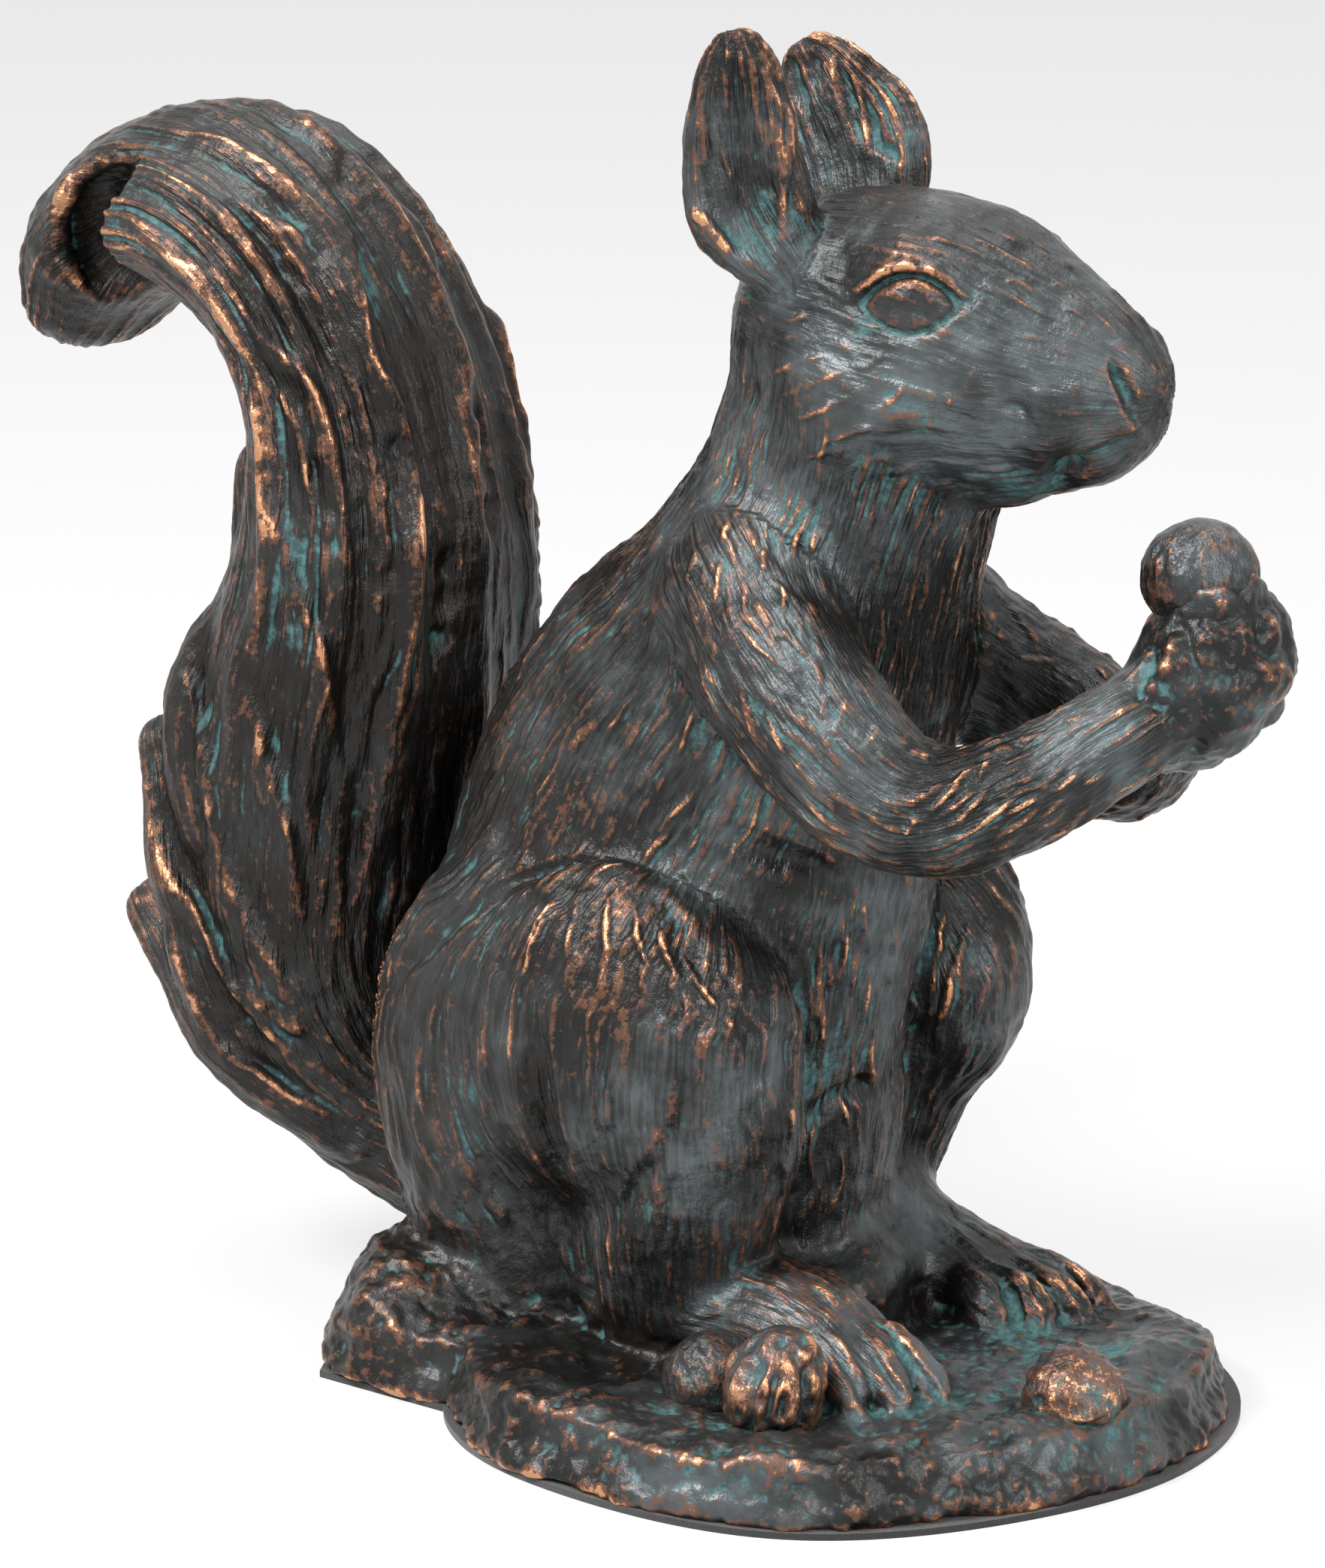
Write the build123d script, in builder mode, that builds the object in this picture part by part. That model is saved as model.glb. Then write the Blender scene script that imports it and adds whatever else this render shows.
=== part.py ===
"""Squirrel figurine in patinated cast bronze: a sitting squirrel with a hazelnut on a ground slab.

X points the way the squirrel looks, Y to its left and Z up. The origin lies on the flat underside, on
the squirrel's mid-plane and below the middle of the ground slab.
"""
from build123d import *
from math import cos, pi, sin
import os

# Driving sizes in millimetres
figure_height = 200.0
casting_wall = 4.0
ear_thickness = 1.8
joint_clearance = 0.1

# Ground slab
base_length = 136.0
base_width = 113.0
ground_height = 10.5
rim_rise = 2.2
mound_rise = 6.5
base_wall = 3.5
felt_thickness = 1.0

# Nuts
held_nut_diameter = 16.8
held_nut_height = 17.0
ground_nut_diameter = 15.4
ground_nut_height = 16.0
far_nut_diameter = 13.6
far_nut_height = 14.0

# Fixings under the slab and in the joints
stud_diameter = 5.0
stud_engagement = 14.0
boss_diameter = 14.0
washer_diameter = 10.0
washer_thickness = 1.0
hex_across_flats = 8.0
hex_height = 4.0
stud_end = 0.4
dowel_diameter = 5.0
dowel_length = 12.0
tail_dowel_rise = 5.0

# Greatest width across the animal and greatest depth of each form
torso_width = 62.0
torso_depth = 75.2
head_width = 38.0
head_depth = 42.4
ear_width = 18.4
ear_depth = 10.4
far_ear_width = 26.4
far_ear_depth = 9.0
hip_width = 34.0
hip_depth = 42.0
leg_width = 32.0
leg_depth = 58.0
foot_width = 22.0
foot_depth = 16.8
foreleg_width = 20.8
foreleg_depth = 26.0
forepaw_width = 14.0
forepaw_depth = 19.6
tail_width = 54.0
tail_depth = 52.0
lock_width = 16.0
lock_depth = 13.6
rib_width = 6.0
rib_depth = 4.8

# Rows are x, y and z in shares of the figure's height, then width and depth in shares of the form's own
torso_shares = [
    (-0.130, 0, 0.030, 0.80, 0.82),
    (-0.138, 0, 0.160, 0.97, 0.95),
    (-0.135, 0, 0.260, 1.00, 1.00),
    (-0.118, 0, 0.360, 0.97, 1.00),
    (-0.088, 0, 0.450, 0.87, 0.96),
    (-0.050, 0, 0.530, 0.78, 0.83),
    (-0.016, 0, 0.600, 0.71, 0.71),
    (0.014, 0, 0.665, 0.65, 0.62),
    (0.032, 0, 0.720, 0.60, 0.54),
    (0.046, 0, 0.765, 0.50, 0.42),
    (0.056, 0, 0.800, 0.34, 0.26),
]
head_shares = [
    (-0.030, 0, 0.785, 0.66, 0.56),
    (0.010, 0, 0.795, 0.88, 0.80),
    (0.055, 0, 0.792, 1.00, 0.95),
    (0.110, 0, 0.782, 0.99, 1.00),
    (0.155, 0, 0.772, 0.83, 0.91),
    (0.200, 0, 0.765, 0.63, 0.75),
    (0.240, 0, 0.762, 0.47, 0.56),
    (0.268, 0, 0.763, 0.32, 0.36),
    (0.281, 0, 0.765, 0.16, 0.18),
]
near_ear_shares = [
    (-0.002, -0.068, 0.820, 0.56, 0.70),
    (-0.012, -0.078, 0.860, 0.90, 1.00),
    (-0.018, -0.083, 0.905, 1.00, 1.00),
    (-0.016, -0.086, 0.945, 0.86, 0.78),
    (-0.013, -0.088, 0.975, 0.60, 0.55),
    (-0.010, -0.090, 0.995, 0.24, 0.32),
]
far_ear_shares = [
    (0.004, 0.060, 0.830, 0.62, 0.80),
    (-0.010, 0.066, 0.870, 0.86, 1.00),
    (-0.026, 0.072, 0.905, 1.00, 1.00),
    (-0.034, 0.075, 0.935, 0.90, 0.90),
    (-0.044, 0.075, 0.958, 0.68, 0.76),
    (-0.052, 0.075, 0.972, 0.36, 0.50),
]
hip_form_shares = [
    (-0.200, 0.090, 0.030, 0.84, 0.72),
    (-0.203, 0.092, 0.100, 0.92, 0.80),
    (-0.213, 0.100, 0.200, 1.00, 0.95),
    (-0.200, 0.100, 0.280, 1.00, 1.00),
    (-0.180, 0.096, 0.340, 0.86, 0.88),
    (-0.165, 0.092, 0.378, 0.58, 0.58),
    (-0.158, 0.090, 0.396, 0.24, 0.24),
]
leg_shares = [
    (-0.035, 0.120, 0.030, 0.69, 0.48),
    (-0.035, 0.120, 0.100, 0.69, 0.49),
    (-0.037, 0.130, 0.160, 0.79, 0.64),
    (-0.062, 0.133, 0.210, 0.94, 0.92),
    (-0.070, 0.133, 0.275, 1.00, 1.00),
    (-0.070, 0.133, 0.330, 0.90, 0.92),
    (-0.055, 0.130, 0.380, 0.62, 0.66),
    (-0.040, 0.126, 0.407, 0.26, 0.28),
]
foot_shares = [
    (-0.080, 0.110, 0.075, 0.78, 0.90),
    (0.000, 0.105, 0.075, 0.84, 1.00),
    (0.070, 0.105, 0.066, 0.98, 0.86),
    (0.120, 0.110, 0.054, 1.00, 0.66),
    (0.152, 0.114, 0.046, 0.88, 0.42),
    (0.172, 0.116, 0.042, 0.56, 0.20),
]
foreleg_shares = [
    (-0.020, 0.060, 0.630, 0.62, 0.66),
    (0.010, 0.098, 0.596, 0.96, 0.98),
    (0.055, 0.122, 0.556, 1.00, 1.00),
    (0.110, 0.134, 0.510, 0.94, 0.92),
    (0.165, 0.126, 0.486, 0.86, 0.76),
    (0.215, 0.102, 0.493, 0.78, 0.64),
    (0.262, 0.072, 0.518, 0.70, 0.56),
    (0.300, 0.046, 0.546, 0.66, 0.53),
]
forepaw_shares = [
    (0.272, 0.056, 0.520, 0.60, 0.50),
    (0.296, 0.038, 0.546, 0.88, 0.82),
    (0.320, 0.028, 0.576, 1.00, 1.00),
    (0.336, 0.024, 0.602, 0.94, 0.92),
    (0.342, 0.022, 0.622, 0.66, 0.62),
]
# Rows of a nut: rise from its middle in shares of its height, and girth in shares of its diameter
nut_shares = [
    (-0.50, 0.24),
    (-0.42, 0.60),
    (-0.28, 0.86),
    (-0.08, 0.99),
    (0.10, 0.98),
    (0.28, 0.84),
    (0.42, 0.56),
    (0.50, 0.20),
]
tail_shares = [
    (-0.280, 0, 0.100, 0.42, 0.38),
    (-0.350, 0, 0.122, 0.54, 0.48),
    (-0.420, 0, 0.165, 0.76, 0.66),
    (-0.460, 0, 0.250, 0.93, 0.92),
    (-0.456, 0, 0.360, 0.98, 1.00),
    (-0.425, 0, 0.470, 1.00, 0.96),
    (-0.404, 0, 0.560, 1.00, 0.80),
    (-0.395, 0, 0.640, 1.00, 0.72),
    (-0.415, 0, 0.715, 0.97, 0.65),
    (-0.465, 0, 0.780, 0.93, 0.62),
    (-0.530, 0, 0.816, 0.89, 0.58),
    (-0.595, 0, 0.810, 0.82, 0.52),
    (-0.645, 0, 0.775, 0.71, 0.44),
    (-0.676, 0, 0.735, 0.56, 0.32),
    (-0.684, 0, 0.712, 0.34, 0.16),
]
# The tail is cast in four sections, which meet at these rows
tail_joint_rows = [4, 7, 10]
# Locks that peel off the back of the tail: two on the lowest section and two on the next
root_lock_shares = [
    [
        (-0.410, 0.070, 0.130, 0.75, 0.88),
        (-0.485, 0.090, 0.165, 0.90, 1.00),
        (-0.532, 0.088, 0.225, 0.80, 0.88),
        (-0.548, 0.086, 0.270, 0.40, 0.40),
    ],
    [
        (-0.460, 0.090, 0.200, 0.85, 0.88),
        (-0.500, 0.098, 0.265, 1.00, 1.00),
        (-0.525, 0.090, 0.325, 0.95, 0.94),
        (-0.535, 0.086, 0.356, 0.70, 0.70),
    ],
]
plume_lock_shares = [
    [
        (-0.495, 0.094, 0.388, 0.90, 0.80),
        (-0.508, 0.088, 0.425, 1.00, 0.90),
        (-0.512, 0.074, 0.475, 0.85, 0.82),
        (-0.500, 0.062, 0.518, 0.40, 0.40),
    ],
    [
        (-0.470, 0.070, 0.500, 0.75, 0.76),
        (-0.482, 0.064, 0.560, 0.70, 0.70),
        (-0.478, 0.060, 0.610, 0.40, 0.40),
    ],
]
# Ribs of fur that run along the two middle sections, in shares of a turn about the tail
rib_turn_shares = [0.010, 0.840, 0.922, 0.750, 0.578, 0.660, 0.490]

# Slab outline in shares of the base's length and width: a curved edge, and one straight rocky side
outline_shares = [
    (-0.244, -0.425),
    (-0.132, -0.531),
    (0.015, -0.575),
    (0.265, -0.536),
    (0.434, -0.310),
    (0.493, -0.062),
    (0.426, 0.212),
    (0.250, 0.372),
    (-0.044, 0.425),
    (-0.309, 0.363),
    (-0.456, 0.212),
    (-0.500, 0.000),
    (-0.485, -0.212),
    (-0.419, -0.416),
]
mound_shares = [
    (-0.405, -0.370),
    (-0.290, -0.385),
    (-0.235, -0.150),
    (-0.240, 0.180),
    (-0.350, 0.290),
    (-0.450, 0.160),
    (-0.480, -0.020),
    (-0.462, -0.230),
]
top_shrink_share = 0.965
crest_outer_share = 0.93
crest_inner_share = 0.86
dish_share = 0.80
mound_shrink_share = 0.93

# Places of the ground nuts: shares of the base's length and width, and rise as a share of the height
front_nut_shares = (0.165, -0.386, 0.0255)
rear_nut_shares = (0.088, -0.350, 0.0175)
far_nut_shares = (0.400, -0.127, 0.0175)

# Places of the fixings and of the held nut, in shares of the figure's height
front_stud_shares = (-0.020, 0, 0)
rear_stud_shares = (-0.230, 0, 0)
held_nut_shares = (0.313, 0, 0.636)
shoulder_shares = (0.002, 0.104, 0.590)
hip_shares = (-0.120, 0.155, 0.240)
tail_root_shares = (-0.318, 0, 0)

# Directions that the ears open to, and of the nuts' tips
near_opening = Vector(0.50, -0.86, 0.12)
far_opening = Vector(0.10, 0.99, 0.08)
upright = Vector(0, 0, 1)
front_nut_tip = Vector(0.25, 0.35, 0.90)
rear_nut_tip = Vector(-0.60, 0.30, 0.74)
far_nut_tip = Vector(0.30, -0.55, 0.78)

# Shift of an ear's hollow towards its opening, as a share of the ear's half depth
scoop_shift_share = 0.62
# The far leg is set forward of the near one by twice this share of the figure's height
stance_share = 0.015
# Rows where the neck joint lies, and rows left solid at the tail's ends
neck_row = 7
root_solid_rows = 2
curl_solid_rows = 2

across = Vector(0, 1, 0)


def place(shares):
    """Point in the figure from shares of its height"""
    return Vector(*shares[:3]) * figure_height


def mirrored(rows):
    """The same rows on the right side of the animal"""
    return [(row[0], -row[1], *row[2:]) for row in rows]


def path_direction(points, index):
    """Direction of the path of a form at one of its rings"""
    before = points[max(index - 1, 0)]
    after = points[min(index + 1, len(points) - 1)]
    return (after - before).normalized()


def rings(rows, width, depth, side):
    """Plane, half width and half depth of each elliptical ring of a form"""
    points = [place(row) for row in rows]
    found = []
    for index, row in enumerate(rows):
        plane = Plane(origin=points[index], x_dir=side, z_dir=path_direction(points, index))
        found.append((plane, row[3] * width / 2, row[4] * depth / 2))
    return found


def add_rings(found, mode=Mode.ADD):
    """Loft a smooth form through elliptical rings into the open part"""
    sections = []
    for plane, half_width, half_depth in found:
        with BuildSketch(plane) as ring:
            Ellipse(half_width, half_depth)
        sections.append(ring.sketch.face())
    loft(sections, mode=mode)


def add_form(rows, width, depth, side=across, mode=Mode.ADD):
    """Solid form that swells and tapers along its rows"""
    add_rings(rings(rows, width, depth, side), mode)


def between(first, second, share):
    """Ring a share of the way from one ring to the next"""
    origin = first[0].origin + (second[0].origin - first[0].origin) * share
    direction = first[0].z_dir + (second[0].z_dir - first[0].z_dir) * share
    half_width = first[1] + (second[1] - first[1]) * share
    half_depth = first[2] + (second[2] - first[2]) * share
    return (Plane(origin=origin, x_dir=first[0].x_dir, z_dir=direction), half_width, half_depth)


def inner_rings(found, wall):
    """Rings of the hollow inside a form, which leaves a wall all round and at both ends"""
    first_span = (found[1][0].origin - found[0][0].origin).length
    last_span = (found[-1][0].origin - found[-2][0].origin).length
    inner = [between(found[0], found[1], wall / first_span)]
    inner += found[1:-1]
    inner += [between(found[-1], found[-2], wall / last_span)]
    return [(plane, half_width - wall, half_depth - wall) for plane, half_width, half_depth in inner]


def outline(shares, size_share, height):
    """Face with the outline of the slab or of its mound, drawn in by a share, at a height"""
    points = [(x * base_length * size_share, y * base_width * size_share) for x, y in shares]
    with BuildSketch(Plane.XY.offset(height)) as drawn:
        with BuildLine():
            Spline(*points)
            Line(points[-1], points[0])
        make_face()
    return drawn.sketch.face()


def add_block(shares, bottom_share, bottom, top_share, top, mode=Mode.ADD):
    """Block of ground with sloping sides between two heights"""
    loft([outline(shares, bottom_share, bottom), outline(shares, top_share, top)], mode=mode)


def add_pin(plane, diameter, length, mode=Mode.ADD):
    """Round pin, or the hole for one, centred on a joint"""
    with BuildSketch(plane) as end:
        Circle(diameter / 2)
    extrude(end.sketch, amount=length / 2, both=True, mode=mode)


def stepped(rows, step_share):
    """The same rows moved along the animal"""
    return [(row[0] + step_share, *row[1:]) for row in rows]


def add_scoop(rows, width, depth, side, opening):
    """Hollow one face of an ear, leaving its rim"""
    scoop = []
    for plane, half_width, half_depth in rings(rows[1:-1], width, depth, side):
        origin = plane.origin + opening * (half_depth * scoop_shift_share)
        moved = Plane(origin=origin, x_dir=plane.x_dir, z_dir=plane.z_dir)
        scoop.append((moved, half_width - ear_thickness, half_depth - ear_thickness))
    add_rings(scoop, mode=Mode.SUBTRACT)


def add_rib(found, turn_share):
    """Rib half sunk in a form, which runs along its rings at one place in their turn"""
    angle = 2 * pi * turn_share
    rib = []
    for plane, half_width, half_depth in found:
        out = plane.x_dir * (half_width * cos(angle)) + plane.y_dir * (half_depth * sin(angle))
        along_edge = plane.y_dir * (half_depth * cos(angle)) - plane.x_dir * (half_width * sin(angle))
        ring_plane = Plane(origin=plane.origin + out, x_dir=along_edge, z_dir=plane.z_dir)
        rib.append((ring_plane, rib_width / 2, rib_depth / 2))
    add_rings(rib)


def add_haunch(hip_rows, leg_rows):
    """Rump and leg, with the crease of the folded knee between them"""
    add_form(hip_rows, hip_width, hip_depth)
    add_form(leg_rows, leg_width, leg_depth)


def on_ground(shares):
    """Point above the slab from shares of its length, its width and the figure's height"""
    x_share, y_share, rise_share = shares
    return Vector(base_length * x_share, base_width * y_share, ground_height + figure_height * rise_share)


def nut(centre, tip, diameter, height):
    """Hazelnut: a round body along its own axis, blunt at both ends"""
    middle = Plane(origin=centre, z_dir=tip)
    with BuildPart() as body:
        add_rings([(middle.offset(height * rise), diameter * swell / 2, diameter * swell / 2)
                   for rise, swell in nut_shares])
    return body.part


def boss_plane(shares):
    """Level plane at a stud, on the underside of the slab's top"""
    return Plane(origin=(place(shares).X, place(shares).Y, ground_height - base_wall))


def add_stack(plane, diameter, low, high, mode=Mode.ADD):
    """Round bar between two heights above a plane"""
    with BuildSketch(plane.offset(low)) as end:
        Circle(diameter / 2)
    extrude(end.sketch, amount=high - low, mode=mode)


def finish_piece(piece, name):
    """Label a piece and write it"""
    piece.label = name
    export_step(piece, f"parts/{name}.step")


os.makedirs("parts", exist_ok=True)

# Forms that the neighbouring pieces are fitted to
with BuildPart() as base_form:
    add_block(outline_shares, 1, felt_thickness, top_shrink_share, ground_height)
    add_block(outline_shares, top_shrink_share, ground_height, crest_outer_share, ground_height + rim_rise)
    add_block(outline_shares, dish_share, ground_height, crest_inner_share, ground_height + rim_rise,
              mode=Mode.SUBTRACT)
    add_block(mound_shares, 1, ground_height, mound_shrink_share, ground_height + mound_rise)
torso_rings = rings(torso_shares, torso_width, torso_depth, across)
tail_rings = rings(tail_shares, tail_width, tail_depth, across)
with BuildPart() as torso_form:
    add_rings(torso_rings[:neck_row + 1])
with BuildPart() as head_form:
    add_form(head_shares, head_width, head_depth)
    add_rings(torso_rings[neck_row:])
with BuildPart() as right_haunch_form:
    add_haunch(mirrored(hip_form_shares), mirrored(stepped(leg_shares, -stance_share)))
with BuildPart() as left_haunch_form:
    add_haunch(hip_form_shares, stepped(leg_shares, stance_share))

stud_planes = {"front": boss_plane(front_stud_shares), "rear": boss_plane(rear_stud_shares)}
seat_rises = {"front": base_wall, "rear": base_wall + mound_rise}
neck_plane = torso_rings[neck_row][0]
shoulder_planes = {
    "right": Plane(origin=place(mirrored([shoulder_shares])[0]), z_dir=-across),
    "left": Plane(origin=place(shoulder_shares), z_dir=across),
}
hip_planes = {
    "right": Plane(origin=place(mirrored([hip_shares])[0]), z_dir=-across),
    "left": Plane(origin=place(hip_shares), z_dir=across),
}
tail_root_rise = Vector(0, 0, ground_height + mound_rise + tail_dowel_rise)
tail_root_plane = Plane(origin=place(tail_root_shares) + tail_root_rise, z_dir=tail_rings[0][0].z_dir)
hole_diameter = stud_diameter + 2 * joint_clearance
dowel_hole_diameter = dowel_diameter + 2 * joint_clearance
hollow_share = 1 - 2 * base_wall / base_width

with BuildPart() as base_casting:
    add(base_form.part)
    add_block(outline_shares, hollow_share, felt_thickness, hollow_share * top_shrink_share,
              ground_height - base_wall, mode=Mode.SUBTRACT)
    for name, plane in stud_planes.items():
        add_stack(plane, hole_diameter, -base_wall, seat_rises[name] + rim_rise, mode=Mode.SUBTRACT)
finish_piece(base_casting.part, "base_casting")

with BuildPart() as base_felt:
    add_block(outline_shares, 1, 0, 1, felt_thickness)
finish_piece(base_felt.part, "base_felt")

with BuildPart() as torso_cavity:
    add_rings(inner_rings(torso_rings[:neck_row + 1], casting_wall))
    add(base_form.part.moved(Location((0, 0, casting_wall))), mode=Mode.SUBTRACT)
    for name, plane in stud_planes.items():
        add_stack(plane, boss_diameter, -base_wall, seat_rises[name] + stud_engagement + casting_wall,
                  mode=Mode.SUBTRACT)
with BuildPart() as torso:
    add(torso_form.part)
    add(torso_cavity.part, mode=Mode.SUBTRACT)
    add(base_form.part, mode=Mode.SUBTRACT)
    for name, plane in stud_planes.items():
        add_stack(plane, hole_diameter, 0, seat_rises[name] + stud_engagement + joint_clearance,
                  mode=Mode.SUBTRACT)
    for plane in [neck_plane, tail_root_plane, *shoulder_planes.values(), *hip_planes.values()]:
        add_pin(plane, dowel_hole_diameter, dowel_length, mode=Mode.SUBTRACT)
finish_piece(torso.part, "torso")

with BuildPart() as head:
    add(head_form.part)
    add_rings(inner_rings(rings(head_shares[:-2], head_width, head_depth, across), casting_wall),
              mode=Mode.SUBTRACT)
    add_rings(inner_rings(torso_rings[neck_row:], casting_wall), mode=Mode.SUBTRACT)
    add_pin(neck_plane, dowel_hole_diameter, dowel_length, mode=Mode.SUBTRACT)
finish_piece(head.part, "head")

with BuildPart() as right_ear:
    near_side = upright.cross(near_opening)
    add_form(near_ear_shares, ear_width, ear_depth, near_side)
    add_scoop(near_ear_shares, ear_width, ear_depth, near_side, near_opening)
    add(head_form.part, mode=Mode.SUBTRACT)
finish_piece(right_ear.part, "right_ear")

with BuildPart() as left_ear:
    far_side = far_opening.cross(upright)
    add_form(far_ear_shares, far_ear_width, far_ear_depth, far_side)
    add_scoop(far_ear_shares, far_ear_width, far_ear_depth, far_side, far_opening)
    add(head_form.part, mode=Mode.SUBTRACT)
finish_piece(left_ear.part, "left_ear")

haunch_forms = {"right": right_haunch_form.part, "left": left_haunch_form.part}
hind_feet = {}
leg_steps = {"right": -stance_share, "left": stance_share}
for side_name, haunch_form in haunch_forms.items():
    with BuildPart() as haunch:
        add(haunch_form)
        add(torso_form.part, mode=Mode.SUBTRACT)
        add(base_form.part, mode=Mode.SUBTRACT)
        add_pin(hip_planes[side_name], dowel_hole_diameter, dowel_length, mode=Mode.SUBTRACT)
    finish_piece(haunch.part, f"{side_name}_haunch")
    foot_rows = stepped(foot_shares, leg_steps[side_name])
    if side_name == "right":
        foot_rows = mirrored(foot_rows)
    with BuildPart() as hind_foot:
        add_form(foot_rows, foot_width, foot_depth)
        add(haunch_form, mode=Mode.SUBTRACT)
        add(torso_form.part, mode=Mode.SUBTRACT)
        add(base_form.part, mode=Mode.SUBTRACT)
    finish_piece(hind_foot.part, f"{side_name}_hind_foot")
    hind_feet[side_name] = hind_foot.part

held_nut_solid = nut(place(held_nut_shares), upright, held_nut_diameter, held_nut_height)
finish_piece(held_nut_solid, "held_nut")
for side_name in haunch_forms:
    arm_rows = foreleg_shares if side_name == "left" else mirrored(foreleg_shares)
    paw_rows = forepaw_shares if side_name == "left" else mirrored(forepaw_shares)
    other_side = -figure_height if side_name == "left" else figure_height
    with BuildPart() as foreleg:
        add_form(arm_rows, foreleg_width, foreleg_depth)
        add_form(paw_rows, forepaw_width, forepaw_depth)
        add(torso_form.part, mode=Mode.SUBTRACT)
        add(held_nut_solid, mode=Mode.SUBTRACT)
        with BuildSketch(Plane.XZ) as middle:
            Rectangle(2 * figure_height, 2 * figure_height)
        extrude(middle.sketch, amount=-other_side, mode=Mode.SUBTRACT)
        add_pin(shoulder_planes[side_name], dowel_hole_diameter, dowel_length, mode=Mode.SUBTRACT)
    finish_piece(foreleg.part, f"{side_name}_foreleg")

# The tail's sections, each closed by a wall where it meets the next
section_ends = [0, *tail_joint_rows, len(tail_shares) - 1]
section_names = ["tail_root", "tail_plume", "tail_bend", "tail_curl"]
ribbed_sections = ["tail_plume", "tail_bend"]
tail_locks = {"tail_root": root_lock_shares, "tail_plume": plume_lock_shares}
tail_dowel_planes = [tail_root_plane] + [tail_rings[row][0] for row in tail_joint_rows]
for index, name in enumerate(section_names):
    first, last = section_ends[index], section_ends[index + 1]
    hollow_first = first + root_solid_rows if name == "tail_root" else first
    hollow_last = last - curl_solid_rows if name == "tail_curl" else last
    with BuildPart() as section:
        add_rings(tail_rings[first:last + 1])
        for lock_rows in tail_locks.get(name, []):
            add_form(lock_rows, lock_width, lock_depth)
            add_form(mirrored(lock_rows), lock_width, lock_depth)
        if name in ribbed_sections:
            for turn_share in rib_turn_shares:
                add_rib(tail_rings[first:last + 1], turn_share)
        add_rings(inner_rings(tail_rings[hollow_first:hollow_last + 1], casting_wall), mode=Mode.SUBTRACT)
        add(torso_form.part, mode=Mode.SUBTRACT)
        for haunch_form in haunch_forms.values():
            add(haunch_form, mode=Mode.SUBTRACT)
        add(base_form.part, mode=Mode.SUBTRACT)
        for plane in tail_dowel_planes[index:index + 2]:
            add_pin(plane, dowel_hole_diameter, dowel_length, mode=Mode.SUBTRACT)
    finish_piece(section.part, name)

ground_nuts = {
    "front_nut": nut(on_ground(front_nut_shares), front_nut_tip, ground_nut_diameter, ground_nut_height),
    "rear_nut": nut(on_ground(rear_nut_shares), rear_nut_tip, ground_nut_diameter, ground_nut_height),
    "far_nut": nut(on_ground(far_nut_shares), far_nut_tip, far_nut_diameter, far_nut_height),
}
for name, nut_solid in ground_nuts.items():
    with BuildPart() as ground_nut:
        add(nut_solid)
        add(base_form.part, mode=Mode.SUBTRACT)
        add(hind_feet["right"], mode=Mode.SUBTRACT)
        if name == "rear_nut":
            add(ground_nuts["front_nut"], mode=Mode.SUBTRACT)
    finish_piece(ground_nut.part, name)

dowels = {
    "neck_dowel": neck_plane,
    "right_shoulder_dowel": shoulder_planes["right"],
    "left_shoulder_dowel": shoulder_planes["left"],
    "right_hip_dowel": hip_planes["right"],
    "left_hip_dowel": hip_planes["left"],
}
for name, plane in zip(section_names, tail_dowel_planes):
    dowels[f"{name}_dowel"] = plane
for name, plane in dowels.items():
    with BuildPart() as dowel:
        add_pin(plane, dowel_diameter, dowel_length - 2 * joint_clearance)
    finish_piece(dowel.part, name)

for name, plane in stud_planes.items():
    nut_top = -washer_thickness
    nut_bottom = nut_top - hex_height
    with BuildPart() as stud:
        add_stack(plane, stud_diameter, nut_bottom - stud_end, seat_rises[name] + stud_engagement)
    finish_piece(stud.part, f"{name}_stud")
    with BuildPart() as washer:
        add_stack(plane, washer_diameter, nut_top, 0)
        add_stack(plane, hole_diameter, nut_top, 0, mode=Mode.SUBTRACT)
    finish_piece(washer.part, f"{name}_washer")
    with BuildPart() as hex_nut:
        with BuildSketch(plane.offset(nut_bottom)):
            RegularPolygon(hex_across_flats / 2, 6, major_radius=False)
            Circle(stud_diameter / 2, mode=Mode.SUBTRACT)
        extrude(amount=hex_height)
    finish_piece(hex_nut.part, f"{name}_hex_nut")
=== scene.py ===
"""Squirrel figurine in patinated bronze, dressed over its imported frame.

Forms are given in percent of the figure's height: X the way the squirrel looks, Y to its left, Z up. They are
blended into one skin, carved, and cut apart into the pieces that replace the frame's castings.
"""
import math

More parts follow.
